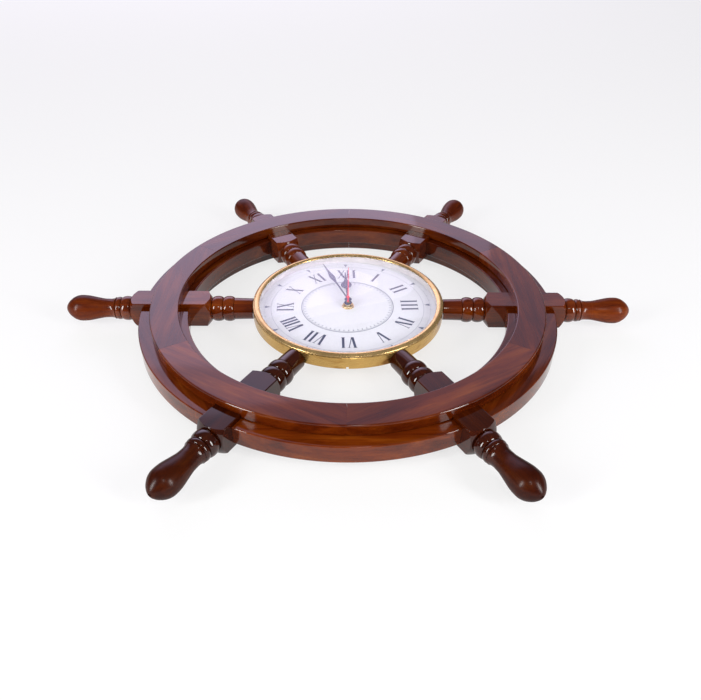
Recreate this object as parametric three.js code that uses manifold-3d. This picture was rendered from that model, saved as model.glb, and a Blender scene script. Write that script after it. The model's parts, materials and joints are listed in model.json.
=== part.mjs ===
// Ship wheel wall clock: a six-spoke turned wooden wheel laid on its back,
// with a round brass quartz clock held between the inner ends of the spokes.
// Millimetres. +Z is the way the dial faces, +Y is twelve o'clock, +X is three o'clock.
// The back of the rim lies in z = 0 and the axis of the wheel is x = y = 0.
import * as THREE from 'three';
import { mergeVertices } from 'three/addons/utils/BufferGeometryUtils.js';
import Module from 'manifold-3d';

const wasm = await Module();
wasm.setup();

// Fits shared by every joint of the object.
const SEAT_GAP = 0.3;            // air between a piece and the piece it rests on or fits into
const SPOKE_COUNT = 6;

// Wooden rim: back ring, felloes between the spokes, front ring.
const RING_RADIUS = 192.5;       // to the middle of the width of the front and back rings
const RING_WIDTH = 29;
const RING_THICKNESS = 12;
const FELLOE_LEDGE_INSIDE = 8.5; // how far a felloe stands out past the rings
const FELLOE_LEDGE_OUTSIDE = 13;
const FELLOE_THICKNESS = 18.4;
const RIM_STEPS = 12;            // straight pieces in the arc of one rim segment

// Turned spokes.
const SPOKE_BLOCK_SIZE = 28;     // square part that passes through the rim
const BLOCK_LENGTH_INSIDE = 21.1; // from the inner edge of the felloes to its domed inner end
const BLOCK_LENGTH_OUTSIDE = 15.6;
const SPOKE_SHANK_RADIUS = 11.7; // plain cylinder next to the clock
const INNER_BEAD_RADIUS = 13.7;
const INNER_BEAD_LENGTH = 12.4;
const COLLAR_BEAD_RADIUS = 12.9; // large bead outside the block
const COLLAR_BEAD_LENGTH = 11;
const RING_BEAD_RADIUS = 12.2;   // narrow bead next to it
const RING_BEAD_LENGTH = 6.4;
const NECK_RADIUS = 9.7;
const GRIP_RADIUS = 13.65;       // fattest part of the handle
const HANDLE_LENGTH = 69.4;      // collar, neck and grip, from the block to the end
const CENTRE_HOLE_RADIUS = 1.3;  // mark of the lathe centre in the end of the handle
const CENTRE_HOLE_DEPTH = 2.2;
const SPOKE_SIDES = 12;

// Brass case of the clock.
const CASE_RADIUS = 102;
const CASE_WALL = 1.8;
const CASE_BACK_Z = 18.4;
const CASE_WALL_HEIGHT = 13.5;
const CASE_FLOOR_THICKNESS = 1.6;
const CASE_NOTCH_WIDTH = 2.6;    // small cut in the back edge of the wall at six o'clock
const CASE_NOTCH_HEIGHT = 3.2;
const ROUND_SIDES = 48;

// Bezel and glass.
const BEZEL_OVERHANG = 0.1;      // just proud of the case wall
const BEZEL_WIDTH = 7.1;         // from its outside to the edge of the opening over the dial
const BEZEL_CROWN_INSET = 3.5;
const BEZEL_CROWN_HEIGHT = 3.1;  // above the edge of the case wall
const BEZEL_SKIRT_WALL = 1.3;
const BEZEL_SKIRT_DEPTH = 3.2;
const BEZEL_LIP_THICKNESS = 0.7;
const GLASS_THICKNESS = 1.6;
const GLASS_RISE = 9.3;          // height of the dome over its edge
const DOME_STEPS = [0.96, 0.8, 0.58, 0.3]; // parts of the dome's radius where its slope changes
const REHAUT_WALL = 1.1;         // upright ring between dial and glass

// Dial and the board behind it.
const DIAL_INSET = 5.6;          // from the outside of the case, room for the heads of the screws
const DIAL_THICKNESS = 0.8;
const BOARD_THICKNESS = 3.2;

// Quartz movement.
const MOVEMENT_SIZE = 56;
const MOVEMENT_DEPTH = 16;
const MOVEMENT_WALL = 1.2;
const FRONT_SHELL_DEPTH = 8;
const MOVEMENT_WINDOW_PLAY = 1;  // air round the movement in the floor of the case
const BATTERY_RADIUS = 7.1;
const BATTERY_BODY_LENGTH = 49;
const BATTERY_NUB_RADIUS = 2.6;
const BATTERY_NUB_LENGTH = 1.3;
const CONTACT_THICKNESS = 0.7;
const BUSHING_RADIUS = 4.8;
const BUSHING_BORE = 3.0;
const HOUR_PIPE_RADIUS = 2.7;
const HOUR_PIPE_BORE = 1.9;
const CANNON_RADIUS = 1.6;
const CANNON_BORE = 0.9;
const ARBOR_RADIUS = 0.6;
const NUT_RADIUS = 5.9;
const NUT_THICKNESS = 2.4;
const NUT_FLANGE_RADIUS = 6.7;
const NUT_FLANGE_THICKNESS = 0.5;
const KNOB_RADIUS = 5;
const KNOB_THICKNESS = 2.6;
const KNOB_SHAFT_RADIUS = 0.9;
const WHEEL_THICKNESS = 0.8;
const TOOTH_DEPTH = 0.4;
const MESH_GAP = 0.3;            // air between the tips of two wheels that turn together
const PINION_OVERHANG = 0.2;     // how far a pinion stands past its wheel on either side
const SECONDS_WHEEL_RADIUS = 6;
const STEP_PINION_RADIUS = 1.2;
const STEP_WHEEL_RADIUS = 5.1;
const ROTOR_PINION_RADIUS = 0.85;
const ROTOR_RADIUS = 3;
const ROTOR_HEIGHT = 2.4;
const SECONDS_PINION_RADIUS = 0.95;
const THIRD_WHEEL_RADIUS = 7.12;
const THIRD_PINION_RADIUS = 0.92;
const CENTRE_WHEEL_RADIUS = 7.36;
const CANNON_PINION_RADIUS = 2;
const MOTION_WHEEL_RADIUS = 6;
const MOTION_PINION_RADIUS = 1.6;
const HOUR_WHEEL_RADIUS = 6.4;
const SETTING_PINION_RADIUS = 1.5;

// Hands, each lying at its own height over the dial.
const HAND_THICKNESS = 0.4;
const HOUR_HAND_LENGTH = 64;
const HOUR_HAND_HALF_WIDTH = 6;  // across the fattest part of its spade
const HOUR_HAND_RISE = 4.5;
const HOUR_HAND_TURN = -3.4;     // degrees from twelve, negative is before twelve
const HOUR_BOSS_RADIUS = 4.3;
const MINUTE_HAND_LENGTH = 80.8;
const MINUTE_HAND_HALF_WIDTH = 3;
const MINUTE_HAND_RISE = 8.9;
const MINUTE_HAND_TURN = -21.4;
const MINUTE_BOSS_RADIUS = 3.9;
const SECOND_HAND_LENGTH = 62;
const SECOND_HAND_HALF_WIDTH = 0.7;
const SECOND_HAND_RISE = 11.7;
const SECOND_TAIL_LENGTH = 10;
const SECOND_HAND_TURN = 0;
const SECOND_CAP_RADIUS = 1.7;

// Fixings.
const SPOKE_SCREW_RADIUS = 1.6;
const SPOKE_SCREW_HEAD_RADIUS = 3;
const SPOKE_SCREW_HEAD_HEIGHT = 2;
const SPOKE_SCREW_LENGTH = 22;   // how far it reaches into the spoke
const SPOKE_SCREW_RISE = 2.4;    // above the axis of the spoke
const HANGER_WIDTH = 44;
const HANGER_HEIGHT = 17;
const HANGER_THICKNESS = 1.5;
const HANGER_KEYHOLE_RADIUS = 4.6;
const HANGER_SLOT_RADIUS = 2.5;
const HANGER_SLOT_LENGTH = 8;
const HANGER_POCKET_DEPTH = 7;   // room behind the keyhole for the head of a wall screw
const HANGER_SCREW_SPREAD = 32;
const HANGER_SCREW_RADIUS = 1.4;
const HANGER_SCREW_HEAD_RADIUS = 2.8;
const HANGER_SCREW_LENGTH = 10;

// Radii that follow from the sizes above.
const RING_INNER_RADIUS = RING_RADIUS - RING_WIDTH / 2;
const RING_OUTER_RADIUS = RING_RADIUS + RING_WIDTH / 2;
const FELLOE_INNER_RADIUS = RING_INNER_RADIUS - FELLOE_LEDGE_INSIDE;
const FELLOE_OUTER_RADIUS = RING_OUTER_RADIUS + FELLOE_LEDGE_OUTSIDE;
const SPOKE_BLOCK_INNER = FELLOE_INNER_RADIUS - BLOCK_LENGTH_INSIDE;
const SPOKE_BLOCK_OUTER = FELLOE_OUTER_RADIUS + BLOCK_LENGTH_OUTSIDE;
const HANDLE_TIP_RADIUS = SPOKE_BLOCK_OUTER + HANDLE_LENGTH;
const BEZEL_RADIUS = CASE_RADIUS + BEZEL_OVERHANG;
const BEZEL_LIP_RADIUS = BEZEL_RADIUS - BEZEL_WIDTH;
const BEZEL_CROWN_RADIUS = BEZEL_RADIUS - BEZEL_CROWN_INSET;
const DIAL_RADIUS = CASE_RADIUS - DIAL_INSET;

// Levels that follow from the sizes above.
const FELLOE_BOTTOM_Z = RING_THICKNESS + SEAT_GAP;
const FELLOE_TOP_Z = FELLOE_BOTTOM_Z + FELLOE_THICKNESS;
const FRONT_RING_Z = FELLOE_TOP_Z + SEAT_GAP;
const WHEEL_THICKNESS_Z = FRONT_RING_Z + RING_THICKNESS;
const AXIS_Z = WHEEL_THICKNESS_Z / 2;
const CASE_TOP_Z = CASE_BACK_Z + CASE_WALL_HEIGHT;
const CASE_FLOOR_Z = CASE_BACK_Z + CASE_FLOOR_THICKNESS;
const MOVEMENT_FRONT_Z = CASE_FLOOR_Z;
const MOVEMENT_BACK_Z = MOVEMENT_FRONT_Z - MOVEMENT_DEPTH;
const BOARD_Z = CASE_FLOOR_Z + SEAT_GAP;
const DIAL_Z = BOARD_Z + BOARD_THICKNESS + SEAT_GAP;
const DIAL_FACE_Z = DIAL_Z + DIAL_THICKNESS;
const BEZEL_SEAT_Z = CASE_TOP_Z + SEAT_GAP;
const BEZEL_LIP_UNDER_Z = BEZEL_SEAT_Z + BEZEL_CROWN_HEIGHT - 1.4;
const GLASS_Z = BEZEL_LIP_UNDER_Z - SEAT_GAP - GLASS_THICKNESS;
const SKIRT_OUTER_RADIUS = CASE_RADIUS - CASE_WALL - SEAT_GAP;
const SKIRT_INNER_RADIUS = SKIRT_OUTER_RADIUS - BEZEL_SKIRT_WALL;
const GLASS_RADIUS = SKIRT_INNER_RADIUS - SEAT_GAP;
const HUB_HOLE_RADIUS = BUSHING_RADIUS + SEAT_GAP;

const MATERIALS = {
  rosewood: new THREE.MeshStandardMaterial({ color: 0x5a2413, roughness: 0.28, metalness: 0 }),
  brass: new THREE.MeshStandardMaterial({ color: 0xc79a3f, roughness: 0.25, metalness: 1 }),
  glass: new THREE.MeshStandardMaterial({ color: 0xf2f6f8, roughness: 0.03, metalness: 0,
    transparent: true, opacity: 0.25 }),
  dial_enamel: new THREE.MeshStandardMaterial({ color: 0xeef0f8, roughness: 0.45, metalness: 0 }),
  hardboard: new THREE.MeshStandardMaterial({ color: 0x6b4a2e, roughness: 0.8, metalness: 0 }),
  black_plastic: new THREE.MeshStandardMaterial({ color: 0x16171a, roughness: 0.5, metalness: 0 }),
  white_plastic: new THREE.MeshStandardMaterial({ color: 0xe8e6dd, roughness: 0.5, metalness: 0 }),
  navy_paint: new THREE.MeshStandardMaterial({ color: 0x14193a, roughness: 0.4, metalness: 0.2 }),
  red_paint: new THREE.MeshStandardMaterial({ color: 0xc81e2c, roughness: 0.45, metalness: 0.1 }),
  steel: new THREE.MeshStandardMaterial({ color: 0xa9abae, roughness: 0.35, metalness: 1 }),
  copper: new THREE.MeshStandardMaterial({ color: 0xa6542b, roughness: 0.4, metalness: 1 }),
  green_board: new THREE.MeshStandardMaterial({ color: 0x23603c, roughness: 0.6, metalness: 0 }),
  cell_jacket: new THREE.MeshStandardMaterial({ color: 0x2c3f5c, roughness: 0.4, metalness: 0.1 }),
};

const object = new THREE.Group();
object.name = 'ship_wheel_clock';

function addMesh(name, geometry, materialName) {
  geometry.computeVertexNormals();
  const mesh = new THREE.Mesh(geometry, MATERIALS[materialName]);
  mesh.name = name;
  object.add(mesh);
  return mesh;
}

// Solid helpers.
function toSolid(geometry) {
  const bare = geometry.clone();
  bare.deleteAttribute('normal');
  bare.deleteAttribute('uv');
  const merged = mergeVertices(bare, 1e-4);
  return new wasm.Manifold(new wasm.Mesh({
    numProp: 3,
    vertProperties: new Float32Array(merged.attributes.position.array),
    triVerts: new Uint32Array(merged.index.array),
  }));
}

function toGeometry(solid) {
  const mesh = solid.getMesh();
  const geometry = new THREE.BufferGeometry();
  geometry.setAttribute('position', new THREE.BufferAttribute(new Float32Array(mesh.vertProperties), 3));
  geometry.setIndex(new THREE.BufferAttribute(new Uint32Array(mesh.triVerts), 1));
  return geometry;
}

const union = (solids) => solids.reduce((sum, solid) => sum.add(solid));
const cut = (solid, tools) => tools.reduce((rest, tool) => rest.subtract(tool), solid);

function box(x0, x1, y0, y1, z0, z1) {
  const geometry = new THREE.BoxGeometry(x1 - x0, y1 - y0, z1 - z0);
  geometry.translate((x0 + x1) / 2, (y0 + y1) / 2, (z0 + z1) / 2);
  return toSolid(geometry);
}

// Solid of revolution about the Z axis from [radius, z] points that run up from the axis
// and back to it, or close on themselves.
function turned(points, sides) {
  const profile = points.map(([radius, z]) => new THREE.Vector2(radius, z));
  const geometry = new THREE.LatheGeometry(profile, sides);
  geometry.rotateX(Math.PI / 2);
  return toSolid(geometry);
}

function rod(radius, z0, z1, sides = 16, x = 0, y = 0) {
  return turned([[0, z0], [radius, z0], [radius, z1], [0, z1]], sides).translate([x, y, 0]);
}

function tube(outer, bore, z0, z1, sides) {
  return turned([[bore, z0], [outer, z0], [outer, z1], [bore, z1], [bore, z0]], sides);
}

function plate(points, z0, z1) {
  const shape = new THREE.Shape(points.map(([x, y]) => new THREE.Vector2(x, y)));
  const geometry = new THREE.ExtrudeGeometry(shape, { depth: z1 - z0, bevelEnabled: false });
  geometry.translate(0, 0, z0);
  return toSolid(geometry);
}

// Wooden rim.
function arcPoints(radius, from, to, steps) {
  const points = [];
  for (let i = 0; i <= steps; i += 1) {
    const angle = from + ((to - from) * i) / steps;
    points.push([radius * Math.cos(angle), radius * Math.sin(angle)]);
  }
  return points;
}

// Flat segment of a ring whose two ends stay parallel to the radii through its limits,
// each held back from its limit by an inset.
function rimSegment(inner, outer, from, to, inset, z0, z1) {
  const back = (radius) => Math.asin(inset / radius);
  const outside = arcPoints(outer, from + back(outer), to - back(outer), RIM_STEPS);
  const inside = arcPoints(inner, from + back(inner), to - back(inner), RIM_STEPS).reverse();
  return plate([...outside, ...inside], z0, z1);
}

const SECTOR = (2 * Math.PI) / SPOKE_COUNT;
const BLOCK_HALF = SPOKE_BLOCK_SIZE / 2;

// Channel left for a spoke's square part, open through the whole width of a ring.
function blockChannel(angle) {
  const half = BLOCK_HALF + SEAT_GAP;
  const overrun = RING_WIDTH / 2;  // past both edges of the ring
  return box(RING_INNER_RADIUS - overrun, RING_OUTER_RADIUS + overrun, -half, half,
    AXIS_Z - half, AXIS_Z + half).rotate([0, 0, THREE.MathUtils.radToDeg(angle)]);
}

const HANGER_Y = RING_RADIUS;

// Shallow bed for the hanger plate, a deeper pocket behind its keyhole, and two screw holes.
function hangerRecess() {
  const halfWidth = HANGER_WIDTH / 2 + SEAT_GAP;
  const halfHeight = HANGER_HEIGHT / 2 + SEAT_GAP;
  const depth = HANGER_THICKNESS + 2 * SEAT_GAP;
  const pocketHalf = HANGER_KEYHOLE_RADIUS + 1.5;
  const holes = [-1, 1].map((side) => rod(HANGER_SCREW_RADIUS + SEAT_GAP, -1,
    HANGER_SCREW_LENGTH + 2 * SEAT_GAP, 12, (side * HANGER_SCREW_SPREAD) / 2, HANGER_Y));
  return union([
    box(-halfWidth, halfWidth, HANGER_Y - halfHeight, HANGER_Y + halfHeight, -1, depth),
    box(-pocketHalf, pocketHalf, HANGER_Y - halfHeight + 1, HANGER_Y + halfHeight - 1, -1,
      HANGER_POCKET_DEPTH),
    ...holes,
  ]);
}

function buildRim() {
  const recess = hangerRecess();
  for (let i = 0; i < SPOKE_COUNT; i += 1) {
    const spokeAngle = i * SECTOR;
    const channel = blockChannel(spokeAngle);
    const from = spokeAngle - SECTOR / 2;
    const to = spokeAngle + SECTOR / 2;
    const seam = SEAT_GAP / 2;
    const front = rimSegment(RING_INNER_RADIUS, RING_OUTER_RADIUS, from, to, seam,
      FRONT_RING_Z, WHEEL_THICKNESS_Z);
    addMesh(`front_ring_segment_${i + 1}`, toGeometry(cut(front, [channel])), 'rosewood');
    const back = rimSegment(RING_INNER_RADIUS, RING_OUTER_RADIUS, from, to, seam, 0, RING_THICKNESS);
    addMesh(`back_ring_segment_${i + 1}`, toGeometry(cut(back, [channel, recess])), 'rosewood');
    const felloe = rimSegment(FELLOE_INNER_RADIUS, FELLOE_OUTER_RADIUS, spokeAngle,
      spokeAngle + SECTOR, BLOCK_HALF + SEAT_GAP, FELLOE_BOTTOM_Z, FELLOE_TOP_Z);
    addMesh(`felloe_${i + 1}`, toGeometry(felloe), 'rosewood');
  }
}

// Turned spokes.
// Points over one rounded bead, from its start to its end along the spoke.
function bead(start, length, peak, valley) {
  const points = [];
  for (const part of [0, 0.16, 0.5, 0.84, 1]) {
    const height = Math.sqrt(Math.max(0, 1 - (2 * part - 1) ** 2));
    points.push([valley + (peak - valley) * height, start + length * part]);
  }
  return points;
}

const SPOKE_INNER_END = BEZEL_RADIUS + SEAT_GAP;

function handleProfile(collarStart) {
  const neckStart = collarStart + COLLAR_BEAD_LENGTH + RING_BEAD_LENGTH;
  const gripStart = neckStart + 8;
  const gripLength = HANDLE_TIP_RADIUS - gripStart;
  const swell = [[0.12, 0.08], [0.29, 0.47], [0.47, 0.89], [0.6, 1], [0.7, 0.93]];
  const grip = swell.map(([along, rise]) =>
    [NECK_RADIUS + (GRIP_RADIUS - NECK_RADIUS) * rise, gripStart + gripLength * along]);
  const nose = [[0.8, 0.86], [0.9, 0.62], [0.97, 0.34]];
  const end = nose.map(([along, part]) => [GRIP_RADIUS * part, gripStart + gripLength * along]);
  return [
    ...bead(collarStart, COLLAR_BEAD_LENGTH, COLLAR_BEAD_RADIUS, COLLAR_BEAD_RADIUS - 1.6),
    ...bead(collarStart + COLLAR_BEAD_LENGTH + 0.4, RING_BEAD_LENGTH - 0.4, RING_BEAD_RADIUS,
      RING_BEAD_RADIUS - 1.6),
    [NECK_RADIUS + 0.5, neckStart + 1.8],
    [NECK_RADIUS, neckStart + 5.5],
    ...grip,
    ...end,
    [CENTRE_HOLE_RADIUS + 0.3, HANDLE_TIP_RADIUS],
    [CENTRE_HOLE_RADIUS, HANDLE_TIP_RADIUS - 0.4],
    [CENTRE_HOLE_RADIUS, HANDLE_TIP_RADIUS - CENTRE_HOLE_DEPTH],
    [0, HANDLE_TIP_RADIUS - CENTRE_HOLE_DEPTH],
  ];
}

// The whole spoke along +Z from the wheel axis: shank, two beads, square block, collar, handle.
function spokeSolid() {
  const beadStart = SPOKE_BLOCK_INNER - 2 * INNER_BEAD_LENGTH;
  const inner = turned([
    [0, SPOKE_INNER_END],
    [SPOKE_SHANK_RADIUS - 0.5, SPOKE_INNER_END],
    [SPOKE_SHANK_RADIUS, SPOKE_INNER_END + 0.7],
    [SPOKE_SHANK_RADIUS, beadStart - 0.3],
    ...bead(beadStart, INNER_BEAD_LENGTH, INNER_BEAD_RADIUS, INNER_BEAD_RADIUS - 1.5),
    ...bead(beadStart + INNER_BEAD_LENGTH, INNER_BEAD_LENGTH, INNER_BEAD_RADIUS,
      INNER_BEAD_RADIUS - 1.5).slice(1),
    [INNER_BEAD_RADIUS - 1.5, SPOKE_BLOCK_INNER + 1],
    [0, SPOKE_BLOCK_INNER + 1],
  ], SPOKE_SIDES);
  const outer = turned([
    [0, SPOKE_BLOCK_OUTER - 1],
    [COLLAR_BEAD_RADIUS - 1.6, SPOKE_BLOCK_OUTER - 1],
    ...handleProfile(SPOKE_BLOCK_OUTER),
  ], SPOKE_SIDES);
  const corner = BLOCK_HALF * Math.SQRT2 + 0.5;
  const dome = turned([
    [0, SPOKE_BLOCK_INNER],
    [BLOCK_HALF - 1.2, SPOKE_BLOCK_INNER + 0.1],
    [BLOCK_HALF + 1.6, SPOKE_BLOCK_INNER + 1.1],
    [corner, SPOKE_BLOCK_INNER + 4.2],
    [corner, SPOKE_BLOCK_OUTER - 7],
    [BLOCK_HALF + 3, SPOKE_BLOCK_OUTER - 2.8],
    [BLOCK_HALF - 1.2, SPOKE_BLOCK_OUTER - 0.1],
    [0, SPOKE_BLOCK_OUTER],
  ], SPOKE_SIDES + 4);
  const square = box(-BLOCK_HALF, BLOCK_HALF, -BLOCK_HALF, BLOCK_HALF,
    SPOKE_BLOCK_INNER - 1, SPOKE_BLOCK_OUTER + 1);
  const screwHole = rod(SPOKE_SCREW_RADIUS + SEAT_GAP, SPOKE_INNER_END - 1,
    SPOKE_INNER_END + SPOKE_SCREW_LENGTH + SEAT_GAP, 8, -SPOKE_SCREW_RISE, 0);
  return cut(union([inner, square.intersect(dome), outer]), [screwHole]);
}

// Lays a solid built along +Z out along a radius of the wheel, its -X side turned to the front.
function layOut(solid, angle, height) {
  return solid.rotate([0, 90, 0]).rotate([0, 0, THREE.MathUtils.radToDeg(angle)])
    .translate([0, 0, height]);
}

function buildSpokes() {
  const spoke = spokeSolid();
  for (let i = 0; i < SPOKE_COUNT; i += 1) {
    addMesh(`spoke_${i + 1}`, toGeometry(layOut(spoke, i * SECTOR, AXIS_Z)), 'rosewood');
  }
}

// Wood screws driven from inside the case through its wall into the spoke ends.
function buildSpokeScrews() {
  const wallInside = CASE_RADIUS - CASE_WALL;
  const headEnd = wallInside - SEAT_GAP;
  const headStart = headEnd - SPOKE_SCREW_HEAD_HEIGHT;
  const tip = SPOKE_INNER_END + SPOKE_SCREW_LENGTH;
  const screw = turned([
    [0, headStart],
    [SPOKE_SCREW_HEAD_RADIUS - 1, headStart],
    [SPOKE_SCREW_HEAD_RADIUS, headStart + 0.8],
    [SPOKE_SCREW_HEAD_RADIUS, headEnd],
    [SPOKE_SCREW_RADIUS, headEnd],
    [SPOKE_SCREW_RADIUS, tip - 3],
    [0, tip],
  ], 12);
  for (let i = 0; i < SPOKE_COUNT; i += 1) {
    const placed = layOut(screw.translate([-SPOKE_SCREW_RISE, 0, 0]), i * SECTOR, AXIS_Z);
    addMesh(`spoke_screw_${i + 1}`, toGeometry(placed), 'brass');
  }
}

// Brass case, bezel, glass.
function buildCase() {
  const inside = CASE_RADIUS - CASE_WALL;
  const shell = turned([
    [0, CASE_BACK_Z],
    [CASE_RADIUS - 0.6, CASE_BACK_Z],
    [CASE_RADIUS, CASE_BACK_Z + 0.6],
    [CASE_RADIUS, CASE_TOP_Z],
    [inside, CASE_TOP_Z],
    [inside, CASE_FLOOR_Z],
    [0, CASE_FLOOR_Z],
  ], ROUND_SIDES);
  const half = MOVEMENT_SIZE / 2 + MOVEMENT_WINDOW_PLAY;
  const window = box(-half, half, -half, half, CASE_BACK_Z - 1, CASE_FLOOR_Z + 1);
  const notch = box(-CASE_NOTCH_WIDTH / 2, CASE_NOTCH_WIDTH / 2, -CASE_RADIUS - 2, -inside + 3,
    CASE_BACK_Z - 1, CASE_BACK_Z + CASE_NOTCH_HEIGHT);
  const hole = rod(SPOKE_SCREW_RADIUS + SEAT_GAP, inside - 2, CASE_RADIUS + 2, 12, -SPOKE_SCREW_RISE, 0);
  const holes = [];
  for (let i = 0; i < SPOKE_COUNT; i += 1) holes.push(layOut(hole, i * SECTOR, AXIS_Z));
  addMesh('brass_case', toGeometry(cut(shell, [window, notch, ...holes])), 'brass');
}

function buildBezel() {
  const crown = BEZEL_SEAT_Z + BEZEL_CROWN_HEIGHT;
  const bezel = turned([
    [SKIRT_INNER_RADIUS, BEZEL_SEAT_Z - BEZEL_SKIRT_DEPTH],
    [SKIRT_OUTER_RADIUS, BEZEL_SEAT_Z - BEZEL_SKIRT_DEPTH],
    [SKIRT_OUTER_RADIUS, BEZEL_SEAT_Z],
    [BEZEL_RADIUS - 0.4, BEZEL_SEAT_Z],
    [BEZEL_RADIUS, BEZEL_SEAT_Z + 0.6],
    [BEZEL_RADIUS - 0.5, BEZEL_SEAT_Z + 1.9],
    [(BEZEL_RADIUS + BEZEL_CROWN_RADIUS) / 2 + 0.3, crown - 0.35],
    [BEZEL_CROWN_RADIUS, crown],
    [(BEZEL_LIP_RADIUS + BEZEL_CROWN_RADIUS) / 2, crown - 0.25],
    [BEZEL_LIP_RADIUS + 0.3, BEZEL_LIP_UNDER_Z + BEZEL_LIP_THICKNESS],
    [BEZEL_LIP_RADIUS, BEZEL_LIP_UNDER_Z],
    [SKIRT_INNER_RADIUS, BEZEL_LIP_UNDER_Z],
    [SKIRT_INNER_RADIUS, BEZEL_SEAT_Z - BEZEL_SKIRT_DEPTH],
  ], ROUND_SIDES);
  addMesh('bezel', toGeometry(bezel), 'brass');
}

function buildGlass() {
  const flat = 3;                 // width of the plain edge under the bezel lip
  const domeRadius = GLASS_RADIUS - flat;
  const dome = (base) => DOME_STEPS.map((part) =>
    [domeRadius * part, base + GLASS_RISE * (1 - part * part)]);
  const glass = turned([
    [0, GLASS_Z + GLASS_RISE],
    ...dome(GLASS_Z).reverse(),
    [domeRadius, GLASS_Z],
    [GLASS_RADIUS, GLASS_Z],
    [GLASS_RADIUS, GLASS_Z + GLASS_THICKNESS],
    [domeRadius, GLASS_Z + GLASS_THICKNESS],
    ...dome(GLASS_Z + GLASS_THICKNESS),
    [0, GLASS_Z + GLASS_THICKNESS + GLASS_RISE],
  ], ROUND_SIDES);
  addMesh('glass', toGeometry(glass), 'glass');
}

function buildDialStack() {
  addMesh('dial_board', toGeometry(tube(DIAL_RADIUS, HUB_HOLE_RADIUS, BOARD_Z,
    BOARD_Z + BOARD_THICKNESS, ROUND_SIDES)), 'hardboard');
  addMesh('dial', toGeometry(tube(DIAL_RADIUS, HUB_HOLE_RADIUS, DIAL_Z, DIAL_FACE_Z,
    ROUND_SIDES)), 'dial_enamel');
  addMesh('inner_ring', toGeometry(tube(DIAL_RADIUS, DIAL_RADIUS - REHAUT_WALL,
    DIAL_FACE_Z + SEAT_GAP, GLASS_Z - SEAT_GAP, ROUND_SIDES)), 'white_plastic');
}

// Quartz movement: levels of the wheel train, counted up from the back cover.
const INSIDE_BACK_Z = MOVEMENT_BACK_Z + MOVEMENT_WALL;
const INSIDE_FRONT_Z = MOVEMENT_FRONT_Z - MOVEMENT_WALL;
const ARBOR_FOOT_Z = INSIDE_BACK_Z + SEAT_GAP;
const TRAIN_PITCH = 1.3;         // from one layer of wheels to the next
const FIRST_LAYER_Z = ARBOR_FOOT_Z + 2.3;
const layerZ = (layer) => FIRST_LAYER_Z + layer * TRAIN_PITCH;

const polar = (radius, degrees) => {
  const angle = THREE.MathUtils.degToRad(degrees);
  return [radius * Math.cos(angle), radius * Math.sin(angle)];
};
const STEP_ARBOR = polar(SECONDS_WHEEL_RADIUS + STEP_PINION_RADIUS + MESH_GAP, 60);
const ROTOR_OFFSET = polar(STEP_WHEEL_RADIUS + ROTOR_PINION_RADIUS + MESH_GAP, 62);
const ROTOR_ARBOR = [STEP_ARBOR[0] + ROTOR_OFFSET[0], STEP_ARBOR[1] + ROTOR_OFFSET[1]];
const THIRD_ARBOR = polar(CENTRE_WHEEL_RADIUS + THIRD_PINION_RADIUS + MESH_GAP, 0);
const MOTION_ARBOR = polar(CANNON_PINION_RADIUS + MOTION_WHEEL_RADIUS + MESH_GAP, 150);
const SETTING_ARBOR = [MOTION_ARBOR[0] - MOTION_WHEEL_RADIUS - SETTING_PINION_RADIUS - MESH_GAP,
  MOTION_ARBOR[1]];
const BATTERY_Y = -MOVEMENT_SIZE / 2 + MOVEMENT_WALL + SEAT_GAP + BATTERY_RADIUS;
const BATTERY_Z = INSIDE_FRONT_Z - SEAT_GAP - BATTERY_RADIUS;
const BAY_TOP_Y = BATTERY_Y + BATTERY_RADIUS + SEAT_GAP;
const BAY_HALF = MOVEMENT_SIZE / 2 - MOVEMENT_WALL;

// Two chambers inside the shells: the battery bay below and the room for the train above.
function chambers(z0, z1) {
  const half = MOVEMENT_SIZE / 2 - MOVEMENT_WALL;
  return [
    box(-half, half, -half, BAY_TOP_Y, z0, z1),
    box(-half, half, BAY_TOP_Y + MOVEMENT_WALL, half, z0, z1),
  ];
}

function buildShells() {
  const half = MOVEMENT_SIZE / 2;
  const split = MOVEMENT_FRONT_Z - FRONT_SHELL_DEPTH;
  const front = cut(box(-half, half, -half, half, split, MOVEMENT_FRONT_Z), [
    ...chambers(split - 1, INSIDE_FRONT_Z),
    rod(BUSHING_BORE, INSIDE_FRONT_Z - 1, MOVEMENT_FRONT_Z + 1, 20),
  ]);
  addMesh('movement_front_shell', toGeometry(front), 'black_plastic');
  const back = cut(box(-half, half, -half, half, MOVEMENT_BACK_Z, split - SEAT_GAP), [
    box(-BAY_HALF, BAY_HALF, -half + MOVEMENT_WALL, BAY_TOP_Y, MOVEMENT_BACK_Z - 1, split),
    chambers(INSIDE_BACK_Z, split)[1],
    rod(KNOB_SHAFT_RADIUS + SEAT_GAP, MOVEMENT_BACK_Z - 1, INSIDE_BACK_Z + 1, 12, ...SETTING_ARBOR),
  ]);
  addMesh('movement_back_shell', toGeometry(back), 'black_plastic');
}

const NUT_Z = DIAL_FACE_Z + SEAT_GAP;
const BUSHING_TOP_Z = NUT_Z + NUT_THICKNESS + 0.2;

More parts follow.
